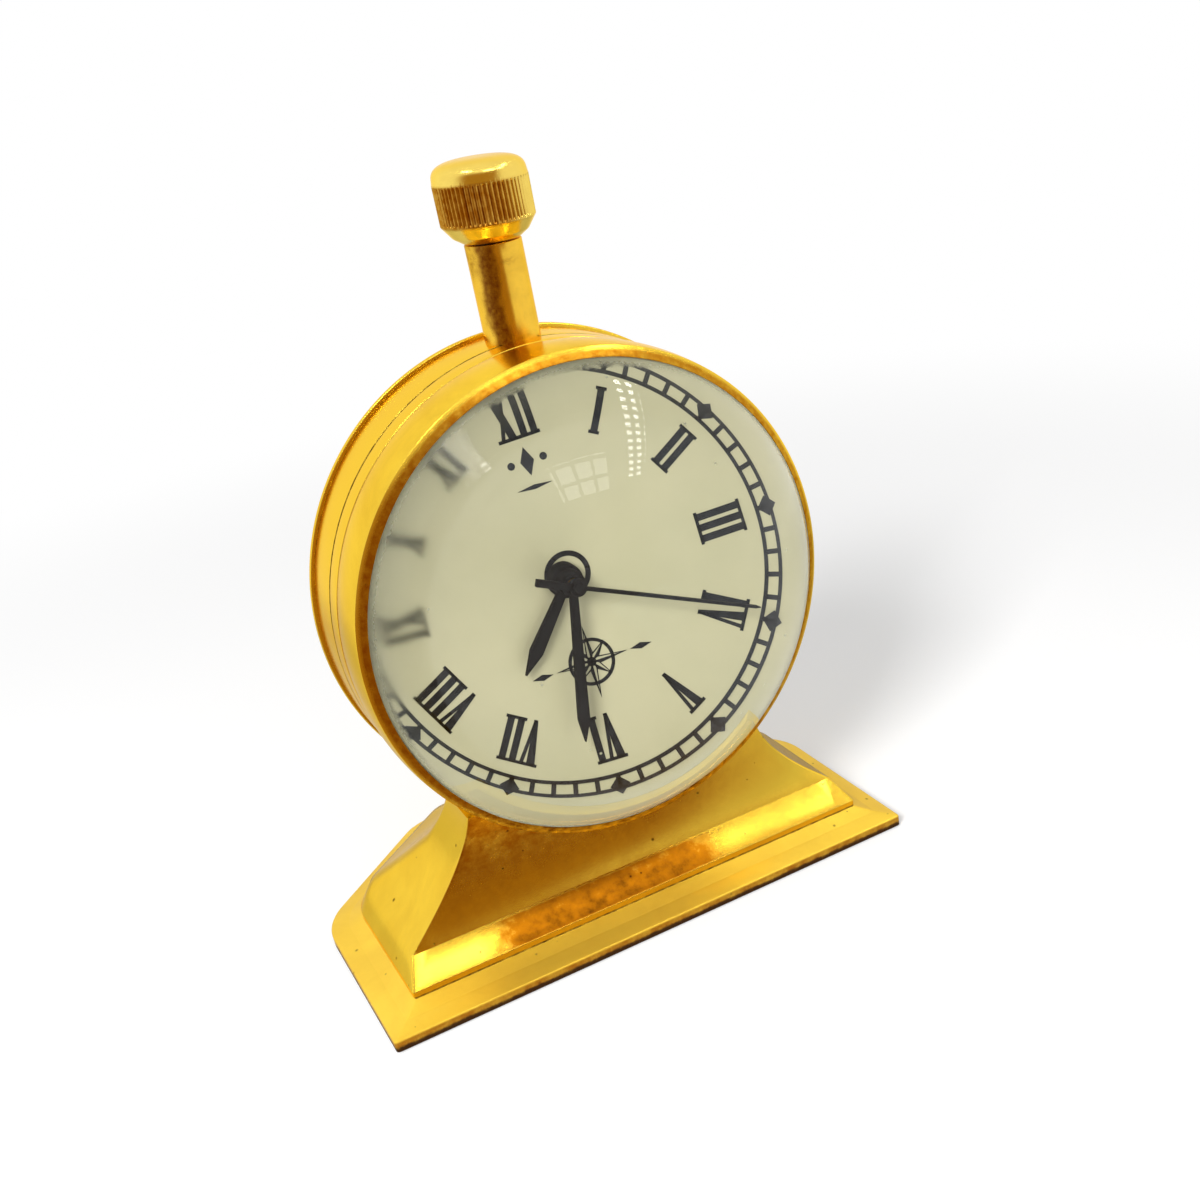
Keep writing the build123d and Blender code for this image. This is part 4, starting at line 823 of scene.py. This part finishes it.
def addInkRing(mesh, x, z, inner, outer, segments):
    for k in range(segments):
        a = 2 * math.pi * k / segments
        b = 2 * math.pi * (k + 1) / segments
        corners = [(inner, a), (outer, a), (outer, b), (inner, b)]
        addInk(mesh, [roundAbout(x, z, out, angle) for out, angle in corners])


def letterPlates(letter, left):  # polygons of one letter, from its foot up
    s = numeralShape
    right = left + s["room"][letter]
    middle = (left + right) / 2
    top = s["height"]
    near = left + s["inset"]
    far = right - s["inset"]

    def stroke(foot, head, low=0, high=top):  # between a span at the foot and one at the head
        return [(foot[0], low), (foot[1], low), (head[1], high), (head[0], high)]

    full = (left, right)
    plates = [stroke(full, full, top - s["serif"], top)]
    if letter in "IX":
        plates.append(stroke(full, full, 0, s["serif"]))
    if letter == "I":
        stem = (middle - s["wide"] / 2, middle + s["wide"] / 2)
        plates.append(stroke(stem, stem))
    if letter == "V":
        broad = s["wide"] * s["broadV"]
        plates.append(stroke([middle + aside for aside in s["footV"]], (near, near + broad)))
        plates.append(stroke([middle + aside for aside in s["thinFootV"]], (far - s["thin"], far)))
    if letter == "X":
        broad = s["wide"] * s["broadX"]
        low = left + s["thinInset"]
        high = right - s["thinInset"]
        plates.append(stroke((far - broad, far), (near, near + broad)))
        plates.append(stroke((low, low + s["thin"]), (high - s["thin"], high)))
    return plates


def turnedPoint(across, out, angle):  # from a numeral's own frame to the dial
    return out * math.sin(angle) + across * math.cos(angle), out * math.cos(angle) - across * math.sin(angle)


def makeNumerals():
    mesh = bmesh.new()
    s = numeralShape
    for hour, word in enumerate(numeralWords):
        angle = math.radians(30 * hour + printShape["turn"])
        left = -sum(s["room"][letter] for letter in word) / 2
        for letter in word:
            for plate in letterPlates(letter, left):
                addInk(mesh, [turnedPoint(across, s["foot"] + up, angle) for across, up in plate])
            left += s["room"][letter]
    return finishedPiece("numerals", mesh)


def makeTrack():
    s = printShape
    lines = bmesh.new()
    for radius in (s["trackIn"], s["trackOut"]):
        addInkRing(lines, 0, 0, radius - s["line"] / 2, radius + s["line"] / 2, s["lineSegments"])
    addInkRing(lines, *s["ringAside"], s["ringIn"], s["ringOut"], s["ringSegments"])
    pieces = [finishedPiece("trackLines", lines)]
    bar = flatPiece("minuteBar", boxPoints(s["bar"] / 2, (s["trackOut"] - s["trackIn"]) / 2), s["ink"])
    middle = (s["trackOut"] + s["trackIn"]) / 2
    start = math.radians(s["turn"])
    pieces.append(ringOf("minuteBars", bar, 60, middle, s["depth"], dialInk, start))
    low = s["lozengeLow"] - s["trackOut"]
    high = s["lozengeHigh"] - s["trackOut"]
    lozenge = flatPiece("hourLozenge", [(0, low), (s["lozengeHalf"], (low + high) / 2), (0, high),
                                        (-s["lozengeHalf"], (low + high) / 2)], s["ink"])
    pieces.append(ringOf("hourLozenges", lozenge, 12, s["trackOut"], s["depth"], dialInk, start))
    return joined("trackPrint", pieces)


def boxPoints(halfWide, halfTall):  # corners of an upright rectangle round the origin
    return [(-halfWide, -halfTall), (halfWide, -halfTall), (halfWide, halfTall), (-halfWide, halfTall)]


def flatPiece(name, points, thickness):  # a small plate at the origin, upright in XZ
    mesh = bmesh.new()
    addPrism(mesh, [(x * mm, 0, z * mm) for x, z in points],
             [(x * mm, thickness * mm, z * mm) for x, z in points])
    return finishedPiece(name, mesh)


def addRose(mesh, turn):  # eight points with one side inked, a ring, a hub and a bar on each side
    s = roseShape
    x = s["x"]
    z = s["z"]
    eighth = math.radians(45)
    for i in range(8):
        angle = turn + math.radians(45 * i)
        length = s["long"] if i % 2 == 0 else s["short"]
        shoulder = angle + math.radians(22.5)
        tip = roundAbout(x, z, length, angle)
        other = roundAbout(x, z, s["waist"], shoulder - eighth)
        share = s["edgeShare"]
        thinEdge = (other[0] * share + x * (1 - share), other[1] * share + z * (1 - share))
        addInk(mesh, [(x, z), tip, roundAbout(x, z, s["waist"], shoulder)])
        addInk(mesh, [other, tip, roundAbout(x, z, length * s["tipShare"], angle), thinEdge])
    addInkRing(mesh, x, z, s["ringIn"], s["ringOut"], s["ringSegments"])
    addInkRing(mesh, x, z, s["dotCore"], s["hub"], s["hubSegments"])
    for side in (-1, 1):
        middle = side * (s["barFrom"] + s["barTo"]) / 2
        bar = [(side * s["barFrom"], 0), (middle, s["barHalf"]), (side * s["barTo"], 0),
               (middle, -s["barHalf"])]
        spots = [turnedPoint(across, up, turn) for across, up in bar]
        addInk(mesh, [(x + across, z + up) for across, up in spots])


def addSprig(mesh, turn):  # a rule, and above it a lozenge between two dots
    s = sprigShape
    rule = [(-s["ruleHalf"], 0), (0, s["ruleThick"]), (s["ruleHalf"], 0), (0, -s["ruleThick"])]
    addInk(mesh, [turnedPoint(x, s["ruleAt"] + z, turn) for x, z in rule])
    lozenge = [(0, -s["tall"]), (s["half"], 0), (0, s["tall"]), (-s["half"], 0)]
    addInk(mesh, [turnedPoint(x, s["radius"] + z, turn) for x, z in lozenge])
    for side in (-1, 1):
        x, z = turnedPoint(side * s["dotSide"], s["radius"], turn)
        addInkRing(mesh, x, z, roseShape["dotCore"], s["dot"], s["dotSegments"])


def makeOrnaments():
    mesh = bmesh.new()
    turn = math.radians(printShape["turn"])
    addRose(mesh, turn)
    addSprig(mesh, turn)
    return finishedPiece("ornaments", mesh)


dialPrint = joined("dialPrint", [makeNumerals(), makeTrack(), makeOrnaments()])
settle(dialPrint, dialInk, "clock_case", "dial_paint")
print("dial printed")


# Hands: bevelled pencil shapes on stepped hubs

handShapes = {
    "hour": {"node": "hour_hand", "body": "hour_hand", "angle": 218.0, "length": 10.9, "root": 0.85,
             "width": 1.4, "hub": 1.72, "hole": 1.2, "collar": 0.55},
    "minute": {"node": "minute_hand", "body": "minute_hand", "angle": 188.5, "length": 17.1, "root": 0.8,
               "width": 1.25, "hub": 1.4, "hole": 0.75, "collar": 0.45},
    "second": {"node": "second_hand", "body": "second_hand", "angle": 112.5, "length": 20.7, "root": 0.4,
               "width": 0.3, "tail": 4.75, "tailWidth": 0.8, "tailStart": 1.0, "hub": 1.0, "cap": 0.25},
}
handBevel = {"share": 0.3, "rise": 0.55, "sharpAngle": 20}
hubShape = {"stand": 0.04, "sink": 0.02, "inner": 0.7, "outer": 0.74, "capTop": 0.55, "capFoot": 0.6,
            "segments": 96}


def handOutline(s):
    half = s["width"] / 2
    root = s["root"] / 2
    shoulder = s["length"] - min(2 * s["width"], s["length"] / 4)
    outline = [(root, 0.0), (half, shoulder), (0.0, s["length"]), (-half, shoulder), (-root, 0.0)]
    if "tail" in s:
        wide = s["tailWidth"] / 2
        outline = ([(wide, -s["tail"]), (wide, -s["tailStart"])] + outline
                   + [(-wide, -s["tailStart"]), (-wide, -s["tail"])])
    return outline


def makeBlade(name, s, front, rear):
    angle = math.radians(s["angle"])
    mesh = bmesh.new()
    crest = handBevel["rise"] * (rear - front)
    spots = [turnedPoint(across, out, angle) for across, out in handOutline(s)]
    loop = [mesh.verts.new(onDial(x, z, front + crest)) for x, z in spots]
    top = mesh.faces.new(loop)
    bmesh.ops.inset_region(mesh, faces=[top], thickness=handBevel["share"] * s["width"] / 2 * mm, depth=0.0)
    for vert in top.verts:
        vert.co.y = rimY + front * mm
    foot = [mesh.verts.new(onDial(x, z, rear)) for x, z in spots]
    mesh.faces.new(foot[::-1])
    addWalls(mesh, loop, foot)
    return finishedPiece(name + "Blade", mesh, handBevel["sharpAngle"])


def makeHub(name, s, front, rear):
    h = hubShape
    if "cap" in s:  # closed, with a cap in front
        outline = [(front - s["cap"], 0, 0), (front - s["cap"], s["hub"] * h["capTop"], 0.1),
                   (front, s["hub"] * h["capFoot"], 0.04), (front, s["hub"], 0.08), (rear, s["hub"], 0.03),
                   (rear, 0, 0)]
    else:
        outline = [(front - h["stand"], s["hole"], 0.04), (front - h["stand"], s["hub"] * h["inner"], 0.05),
                   (front + h["sink"], s["hub"] * h["outer"], 0.02), (front + h["sink"], s["hub"], 0.08),
                   (rear + s["collar"], s["hub"], 0.03), (rear + s["collar"], s["hole"], 0)]
    closed = "cap" not in s
    return spun(name + "Hub", roundedOutline(outline, closed), onDrum, h["segments"], closed)


def makeHand(name):
    s = handShapes[name]
    front, rear = boxSpan(*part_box(s["node"]))[:2]
    front += s.get("cap", 0.0)  # the blade starts behind the cap
    hand = joined(name + "Hand", [makeBlade(name, s, front, rear), makeHub(name, s, front, rear)])
    return settle(hand, handBlack, s["body"], "hand_black", s["node"])


for handName in handShapes:
    makeHand(handName)
print("hands built")


# Stem tube: its foot follows the drum

tubeShape = {"radius": 3.8, "bore": 1.3, "edge": 0.18, "edgeSteps": 4, "segments": 96, "levels": 10}


def makeTube():
    s = tubeShape
    top = tubeHigh.z / mm
    edge = s["edge"]
    turns = [2 * math.pi * k / s["segments"] for k in range(s["segments"])]

    def saddle(out, angle):  # level of the drum's outside below a point of the tube
        return axisZ / mm + math.sqrt(drumRadius ** 2 - (out * math.cos(angle)) ** 2)

    outs = [(s["bore"], 0.0), (s["radius"] - edge, 0.0)]
    for i in range(1, s["edgeSteps"] + 1):
        a = math.pi / 2 * i / s["edgeSteps"]
        outs.append((s["radius"] - edge + edge * math.sin(a), -edge * (1 - math.cos(a))))
    rings = [[onStem(top + drop, out, angle) for angle in turns] for out, drop in outs]
    for i in range(1, s["levels"] + 1):
        levels = [top - edge + (saddle(s["radius"], angle) - top + edge) * i / s["levels"] for angle in turns]
        rings.append([onStem(level, s["radius"], angle) for level, angle in zip(levels, turns)])
    rings.append([onStem(saddle(s["bore"], angle), s["bore"], angle) for angle in turns])
    mesh = bmesh.new()
    verts = [[mesh.verts.new(spot) for spot in ring] for ring in rings]
    for low, high in zip(verts, verts[1:] + verts[:1]):
        for k in range(s["segments"]):
            n = (k + 1) % s["segments"]
            mesh.faces.new([low[k], high[k], high[n], low[n]])
    return settle(finishedPiece("stemTube", mesh), tubeBrass, "clock_case", "polished_brass", "stem_tube")


# Knob: a turned body whose side is cut into a straight knurl by Geometry Nodes

# flare and knurlFoot are the corner's distances along and out, and its round
knobShape = {"foot": 3.9, "footRound": 0.15, "taper": 2.4, "flare": (0.75, 1.15, 0.9), "knurl": 4.8,
             "knurlFoot": (0.1, 0.02, 0.45), "radius": 6.25, "plain": 0.25, "crownRings": 22,
             "crownPower": 3.3, "crownInset": 0.08, "socket": 0.73, "socketDepth": 5.0}
knurlShape = {"ridges": 60, "perRidge": 8, "cut": 0.3, "runOut": 0.3, "unevenness": 0.35, "seed": 5,
              "sharpness": 1.6, "nudge": 0.001, "sharpAngle": 24}


def knurlTree():
    tree, given = openTree("straightKnurl", ("Geometry", "Geometry"), ("Ridges", "Int"), ("Cut", "Float"),
                           ("Low", "Float"), ("High", "Float"), ("Run Out", "Float"),
                           ("Unevenness", "Float"), ("Seed", "Int"), ("Axis Y", "Float"))
    apart = apartXYZ(tree, tree.nodes.new("GeometryNodeInputPosition").outputs[0])
    ahead = minus(tree, apart["Y"], given["Axis Y"])
    turns = calc(tree, "DIVIDE", calc(tree, "ARCTAN2", ahead, apart["X"]), 2 * math.pi)
    along = times(tree, plus(tree, turns, 1.0), given["Ridges"])
    whole = calc(tree, "FLOOR", plus(tree, along, knurlShape["nudge"]))
    part = minus(tree, along, whole)
    fromMiddle = calc(tree, "ABSOLUTE", minus(tree, times(tree, part, 2.0), 1.0))
    wave = calc(tree, "POWER", fromMiddle, knurlShape["sharpness"])
    rise = spread(tree, apart["Z"], given["Low"], plus(tree, given["Low"], given["Run Out"]))
    fall = spread(tree, apart["Z"], given["High"], minus(tree, given["High"], given["Run Out"]))
    chance = putNode(tree, "FunctionNodeRandomValue", {"ID": whole, "Seed": given["Seed"]})
    uneven = minus(tree, 1.0, times(tree, given["Unevenness"], chance.outputs[1]))
    shape = times(tree, wave, times(tree, rise, fall))
    depth = times(tree, shape, times(tree, given["Cut"], uneven))
    outwards = putNode(tree, "ShaderNodeCombineXYZ", {"X": apart["X"], "Y": ahead})
    unit = vectorStep(tree, "NORMALIZE", outwards.outputs[0])[0]
    inwards = putNode(tree, "ShaderNodeVectorMath", {0: unit, "Scale": times(tree, depth, -1.0)},
                      operation="SCALE")
    cut = putNode(tree, "GeometryNodeSetPosition", {"Geometry": given["Geometry"],
                                                    "Offset": inwards.outputs[0]})
    return closeTree(tree, cut.outputs[0], given["Finish"])


def makeKnob():
    s = knobShape
    k = knurlShape
    bottom = knobLow.z / mm
    low = bottom + s["taper"]
    high = low + s["knurl"]
    top = knobHigh.z / mm
    up, aside, flareRound = s["flare"]
    under, inset, knurlRound = s["knurlFoot"]
    outline = [
        (bottom + s["socketDepth"], 0, 0),
        (bottom + s["socketDepth"], s["socket"], 0),
        (bottom, s["socket"], 0),
        (bottom, s["foot"], s["footRound"]),
        (bottom + up, s["foot"] + aside, flareRound),
        (low - under, s["radius"] - inset, knurlRound),
        (low, s["radius"], 0),
        (low + s["plain"], s["radius"], 0),
        (high - s["plain"], s["radius"], 0),
        (high, s["radius"], 0),
    ]
    points = roundedOutline(outline, closed=False, steps=6)
    power = 2 / s["crownPower"]
    for i in range(1, s["crownRings"]):  # a rounded shoulder that runs into the nearly flat top
        a = math.pi / 2 * i / s["crownRings"]
        out = (s["radius"] - s["crownInset"]) * math.cos(a) ** power
        points.append(Vector((high + (top - high) * math.sin(a) ** power, out)))
    points.append(Vector((top, 0.0)))
    knob = spun("knurledKnob", points, onStem, k["ridges"] * k["perRidge"], closed=False)
    step = knob.modifiers.new("knurl", "NODES")
    step.node_group = knurlTree()
    setInputs(step, {"Ridges": k["ridges"], "Cut": k["cut"] * mm, "Low": low * mm, "High": high * mm,
                     "Run Out": k["runOut"] * mm, "Unevenness": k["unevenness"], "Seed": k["seed"],
                     "Axis Y": tubeY, "Finish": knobBrass})
    plainMesh(knob, k["sharpAngle"])
    return settle(knob, knobBrass, "knob", "polished_brass", "knob")


makeTube()
makeKnob()
print("stem tube and knob built")


# Base: one casting lofted from bowed outlines, hollow below

baseShape = {
    "shoulderBack": 21.3, "shoulderRun": 23.1, "shoulderRound": 12.0, "rearRound": 9.0, "frontRound": 0.45,
    "edgeTop": 2.3, "riserBottom": 4.1, "riserTop": 5.2, "footLevel": 8.75, "riserInset": 5.5,
    "footInset": 7.5, "footFront": 9.6, "coveLevel": 18.0, "coveHalf": 29.2, "coveFront": 10.8,
    "topHalf": 24.9, "topFront": 7.8, "topRear": 20.0, "topShoulder": 17.9, "topFlat": 22.5, "topRound": 2.0,
    "feltMargin": 2.0, "feltRoof": 1.2, "steps": 30, "bellyLevel": 0.4, "bellyInset": 0.55,
    "bottomRound": 0.2, "edgeRound": 0.25, "bellyRound": 0.9, "riserRound": (0.15, 0.22),
    "saddleReach": (-30, 60), "saddlePlay": 0.03, "footRearMore": 1, "footSideMore": 3.5,
    "footFlatMore": 3.1,
}
cornerSteps = (5, 14, 10)
lineSteps = (10, 8, 16)
rearSteps = 28


# A bowed outline: square front corners, rounded shoulders and rear corners
def bowedOutline(half, front, sideY, flatHalf, rear, sideRound, backRound):
    right = [(half, front, baseShape["frontRound"], cornerSteps[0], lineSteps[0]),
             (half, sideY, sideRound, cornerSteps[1], lineSteps[1]),
             (flatHalf, rear, backRound, cornerSteps[2], lineSteps[2])]
    mirrored = [(-x, y, size, arc, 0) for x, y, size, arc, line in reversed(right)]
    lines = [lineSteps[0], lineSteps[1], lineSteps[2], lineSteps[1], lineSteps[0], rearSteps]
    corners = right + mirrored
    flat = [Vector(corner[:2]) for corner in corners]
    arcs = [cornerArc(flat[i - 1], flat[i], flat[(i + 1) % 6], corners[i][2], corners[i][3])
            for i in range(6)]
    points = []
    for i, arc in enumerate(arcs):
        points += arc
        following = arcs[(i + 1) % 6][0]
        points += [arc[-1].lerp(following, k / lines[i]) for k in range(1, lines[i])]
    return points


def planOutline(inset, frontInset):
    s = baseShape
    fullHalf = baseHigh.x / mm
    fullRear = baseHigh.y / mm
    shoulderY = fullRear - s["shoulderBack"]
    run = Vector((s["shoulderRun"], s["shoulderBack"]))
    across = run.y / run.length
    back = run.x / run.length
    offset = across * fullHalf + back * shoulderY - inset
    half = fullHalf - inset
    rear = fullRear - inset
    return bowedOutline(half, frontInset - fullRear, (offset - across * half) / back,
                        (offset - back * rear) / across, rear,
                        s["shoulderRound"] - inset / 2, s["rearRound"] - inset / 2)


def through(level, low, middle, high):  # the parabola through three level and value pairs
    slope = (middle[1] - low[1]) / (middle[0] - low[0])
    bend = ((high[1] - middle[1]) / (high[0] - middle[0]) - slope) / (high[0] - low[0])
    return low[1] + slope * (level - low[0]) + bend * (level - low[0]) * (level - middle[0])


def pedestalOutline(level):
    s = baseShape
    fullHalf = baseHigh.x / mm
    fullRear = baseHigh.y / mm
    topLevel = baseHigh.z / mm
    footHalf = fullHalf - s["footInset"]
    half = through(level, (s["footLevel"], footHalf), (s["coveLevel"], s["coveHalf"]),
                   (topLevel, s["topHalf"]))
    front = through(level, (s["footLevel"], s["footFront"]), (s["coveLevel"], s["coveFront"]),
                    (topLevel, s["topFront"])) - fullRear
    spreading = (half - s["topHalf"]) / (footHalf - s["topHalf"])
    rise = (topLevel - level) / (topLevel - s["footLevel"])
    topRear = s["topRear"] - fullRear
    topShoulder = s["topShoulder"] - fullRear
    rear = topRear + spreading * (fullRear - s["footInset"] - s["footRearMore"] - topRear)
    sideY = topShoulder + rise * (fullRear - s["shoulderBack"] - s["footSideMore"] - topShoulder)
    flat = s["topFlat"] + spreading * (fullHalf - s["shoulderRun"] - s["footFlatMore"] - s["topFlat"])
    sideRound = s["topRound"] + rise * (s["shoulderRound"] - s["footInset"] / 2 - s["topRound"])
    backRound = s["topRound"] + rise * (s["rearRound"] - s["footInset"] / 2 - s["topRound"])
    return bowedOutline(half, front, sideY, flat, rear, sideRound, backRound)


def makeBase():
    s = baseShape
    bottom = baseLow.z / mm
    topLevel = baseHigh.z / mm
    band = s["riserInset"]
    belly = s["edgeTop"] + (s["riserBottom"] - s["edgeTop"]) * s["bellyLevel"]
    profile = roundedOutline([
        (s["feltRoof"], s["feltMargin"], 0),
        (bottom, s["feltMargin"], 0),
        (bottom, 0, s["bottomRound"]),
        (s["edgeTop"], 0, s["edgeRound"]),
        (belly, band * s["bellyInset"], s["bellyRound"]),
        (s["riserBottom"], band, s["riserRound"][0]),
        (s["riserTop"], band, s["riserRound"][1]),
        (s["footLevel"], s["footInset"], 0),
    ], closed=False)
    stations = [(point.x, planOutline(point.y, point.y)) for point in profile[:-1]]
    for i in range(s["steps"] + 1):
        level = s["footLevel"] + (topLevel - s["footLevel"]) * i / s["steps"]
        stations.append((level, pedestalOutline(level)))
    mesh = bmesh.new()
    rings = [[mesh.verts.new(Vector((p.x, p.y, level)) * mm) for p in loop] for level, loop in stations]
    count = len(rings[0])
    for low, high in zip(rings, rings[1:]):
        for k in range(count):
            n = (k + 1) % count
            mesh.faces.new([low[k], low[n], high[n], high[k]])
    mesh.faces.new(rings[0][::-1])
    mesh.faces.new(rings[-1])
    base = finishedPiece("pedestalBase", mesh)
    radius = drumRadius + s["saddlePlay"]
    front, rear = s["saddleReach"]
    outline = [Vector(spot) for spot in ((front, 0), (front, radius), (rear, radius), (rear, 0))]
    base = carved(base, [spun("saddle", outline, onDrum, drumSegments, closed=False)])
    return settle(base, baseBrass, "clock_case", "polished_brass", "base")


makeBase()
print("base built")


# Screws of the rear cover, placed by the ring tree

screwShape = {"head": 1.7, "tall": 0.9, "slot": 0.48, "slotDepth": 0.42, "slotReach": 3, "cutter": 2.0,
              "circle": 30.2, "shank": 0.9, "reach": 4.0, "segments": 48, "looseTurn": 2.4, "seed": 11}


def makeCoverScrews():
    s = screwShape
    seat = drumDepth - coverShape["sink"]

    def own(depth, out, angle):
        return Vector((out * math.sin(angle) * mm, depth * mm, out * math.cos(angle) * mm))

    outline = roundedOutline([(s["tall"], 0, 0), (s["tall"], s["head"], 0.25), (0, s["head"], 0.05),
                              (0, s["shank"], 0), (-s["reach"], s["shank"], 0.1), (-s["reach"], 0, 0)],
                             closed=False)
    screw = spun("coverScrew", outline, own, s["segments"], closed=False)
    slot = flatPiece("slotCutter", boxPoints(s["slotReach"], s["slot"] / 2), s["cutter"])
    slot.data.transform(Matrix.Translation((0, (s["tall"] - s["slotDepth"]) * mm, 0)))
    screw = carved(screw, [slot])
    ring = ringOf("coverScrews", screw, 4, s["circle"], seat, steelFinish, math.radians(45), s["looseTurn"],
                  s["seed"])
    return settle(ring, steelFinish, "clock_case", "steel", "back_cover_screws")


makeCoverScrews()
print("screws built")


# Finishes of the CAD pieces that stay as they are

nodeFinishes = {
    feltGreen: ("base_felt",),
    wheelBrass: ("screw_strap", "tube_nut", "motion_posts", "third_wheel", "centre_wheel", "step_wheel",
                 "second_wheel", "cannon_pinion", "motion_wheel", "hour_wheel", "main_plate"),
    steelFinish: ("base_screws", "clamp_screws", "bridge_screws", "movement_clamps", "setting_stem",
                  "clutch_wheel", "setting_wheel", "setting_lever", "train_bridge", "stator", "coil_core",
                  "crystal_can", "battery", "battery_clip"),
    holderPlastic: ("movement_holder",),
    boardGreen: ("circuit_board",),
    chipBlack: ("chip",),
    copperWire: ("coil_winding",),
    magnetGrey: ("rotor",),
}
for finish, names in nodeFinishes.items():
    for nodeName in names:
        nodes[nodeName].data.materials.clear()
        nodes[nodeName].data.materials.append(finish)
print("finishes given to the inner pieces")


# Studio: pale floor, soft lamps, white surroundings

floorLook = {"half": 4.0, "albedo": 0.6, "lift": 0.1, "fade": (0.15, 0.36), "front": (-0.026, -0.042),
             "frontSide": (0.07, 0.015), "seenAlbedo": 0.7, "seenLift": 0.33}
surroundings = {"bright": (1.0, 0.98, 0.94, 1), "front": (0.40, 0.22, 0.05, 1),
                "diffuse": (0.36, 0.36, 0.36, 1)}
# Where the room is dark, by the direction's Y, Z and X
darkZone = {"ahead": (-0.1, -0.6), "low": (0.8, 0.45), "left": (0.62, 0.24)}
lamps = {
    "key": {"place": (-0.62, -0.56, 0.62), "size": 0.28, "power": 11.0},
    "front": {"place": (0.10, -0.80, 0.70), "size": 0.8, "power": 2.2},
}
lampAim = (0, -0.01, 0.05)
# What the glass mirrors of the room: x/z and y/z of the direction to each patch of the ceiling
ceiling = {
    "window": {"across": (-0.05, 0.45), "along": (-1.12, -0.66), "cells": (6.0, 4.5), "open": 0.8,
               "power": 6.0},
    "leftStrip": {"across": (-0.62, -0.38), "along": (-0.42, 0.02), "cells": (9.0, 16.0), "open": 0.5,
                  "power": 20.0},
    "rightStrip": {"across": (0.70, 0.90), "along": (-1.0, 0.05), "cells": (10.0, 12.0), "open": 0.5,
                   "power": 20.0},
}
ceilingGrid = {"lowest": 0.05, "fade": 0.01, "shift": 10.0}


def grey(value):
    return (value,) * 3 + (1,)


def makeFloor():
    look = floorLook
    mesh = bmesh.new()
    corners = boxPoints(look["half"], look["half"])
    mesh.faces.new([mesh.verts.new((x, y, 0)) for x, y in corners])
    floor = finishedPiece("studioFloor", mesh)
    material, tree, shader = newMaterial("studioFloor")
    rays = putNode(tree, "ShaderNodeLightPath").outputs
    place = objectPlace(tree)
    apart = apartXYZ(tree, place)
    away = vectorStep(tree, "LENGTH", place)["Value"]
    mirrored = minus(tree, rays["Is Glossy Ray"], rays["Is Transmission Ray"], clamp=True)
    front = times(tree, times(tree, spread(tree, apart["Y"], *look["front"]), mirrored),
                  spread(tree, apart["X"], *look["frontSide"]))
    tone = mixColour(tree, rays["Is Camera Ray"], grey(look["albedo"]), grey(look["seenAlbedo"]))
    near = mixColour(tree, spread(tree, away, *look["fade"]), tone, grey(0))
    shown = largest(tree, rays["Is Camera Ray"], rays["Is Transmission Ray"], rays["Is Glossy Ray"])
    base = putNode(tree, "ShaderNodeMix", {0: rays["Is Camera Ray"], 2: look["lift"], 3: look["seenLift"]})
    lift = times(tree, shown, spread(tree, away, *look["fade"], base.outputs[0], 1.0))
    feed(tree, shader, Base_Color=mixColour(tree, front, near, grey(0)), Roughness=0.9,
         Emission_Color=mixColour(tree, front, grey(1), surroundings["front"]),
         Emission_Strength=largest(tree, lift, front), Specular_IOR_Level=0.0)
    floor.data.materials.append(material)


def makeWorld():
    world = bpy.data.worlds.new("studioWorld")
    world.use_nodes = True
    bpy.context.scene.world = world
    tree = world.node_tree
    background = tree.nodes["Background"]
    grid = ceilingGrid
    apart = apartXYZ(tree, putNode(tree, "ShaderNodeTexCoord").outputs["Generated"])
    sides = (("Y", "ahead"), ("Z", "low"), ("X", "left"))
    dark = times(tree, *[spread(tree, apart[axis], *darkZone[side]) for axis, side in sides])
    studio = mixColour(tree, dark, surroundings["bright"], surroundings["front"])
    height = largest(tree, apart["Z"], grid["lowest"])
    across = calc(tree, "DIVIDE", apart["X"], height)
    along = calc(tree, "DIVIDE", apart["Y"], height)
    for patch in ceiling.values():
        inside = times(tree, within(tree, across, *patch["across"], grid["fade"], 1.0),
                       within(tree, along, *patch["along"], grid["fade"], 1.0))
        for value, cells in zip((across, along), patch["cells"]):
            step = calc(tree, "FRACT", times(tree, plus(tree, value, grid["shift"]), cells))
            inside = times(tree, inside, calc(tree, "LESS_THAN", step, patch["open"]))
        studio = mixColour(tree, inside, studio, grey(patch["power"]))
    rays = putNode(tree, "ShaderNodeLightPath").outputs
    shown = largest(tree, rays["Is Camera Ray"], rays["Is Transmission Ray"])
    lit = mixColour(tree, rays["Is Glossy Ray"], surroundings["diffuse"], studio)
    tree.links.new(mixColour(tree, shown, lit, grey(1)), background.inputs["Color"])


def makeLamps():
    for name, lamp in lamps.items():
        data = bpy.data.lights.new(name, "AREA")
        data.size = lamp["size"]
        data.energy = lamp["power"]
        light = bpy.data.objects.new(name, data)
        light.location = lamp["place"]
        aim = Vector(lampAim) - light.location
        light.rotation_euler = aim.to_track_quat("-Z", "Y").to_euler()
        light.visible_glossy = False  # the metal and glass mirror the room alone
        light.visible_transmission = False
        bpy.context.scene.collection.objects.link(light)


cameraView = {"lens": 40.42, "sensor": 36.0, "shift": (-0.12, 0.15), "nearest": 0.01,
              "place": (-0.064746, -0.193829, 0.128844), "turn": (59.396, 7.329, -30.824)}


def makeCamera():
    data = bpy.data.cameras.new("photoCamera")
    data.sensor_width = cameraView["sensor"]
    data.lens = cameraView["lens"]
    data.shift_x, data.shift_y = cameraView["shift"]
    data.clip_start = cameraView["nearest"]
    camera = bpy.data.objects.new("photoCamera", data)
    camera.location = cameraView["place"]
    camera.rotation_euler = [math.radians(angle) for angle in cameraView["turn"]]
    bpy.context.scene.collection.objects.link(camera)
    bpy.context.scene.camera = camera


makeFloor()
makeWorld()
makeLamps()
makeCamera()
bpy.context.scene.view_settings.view_transform = "Standard"
print("studio set")
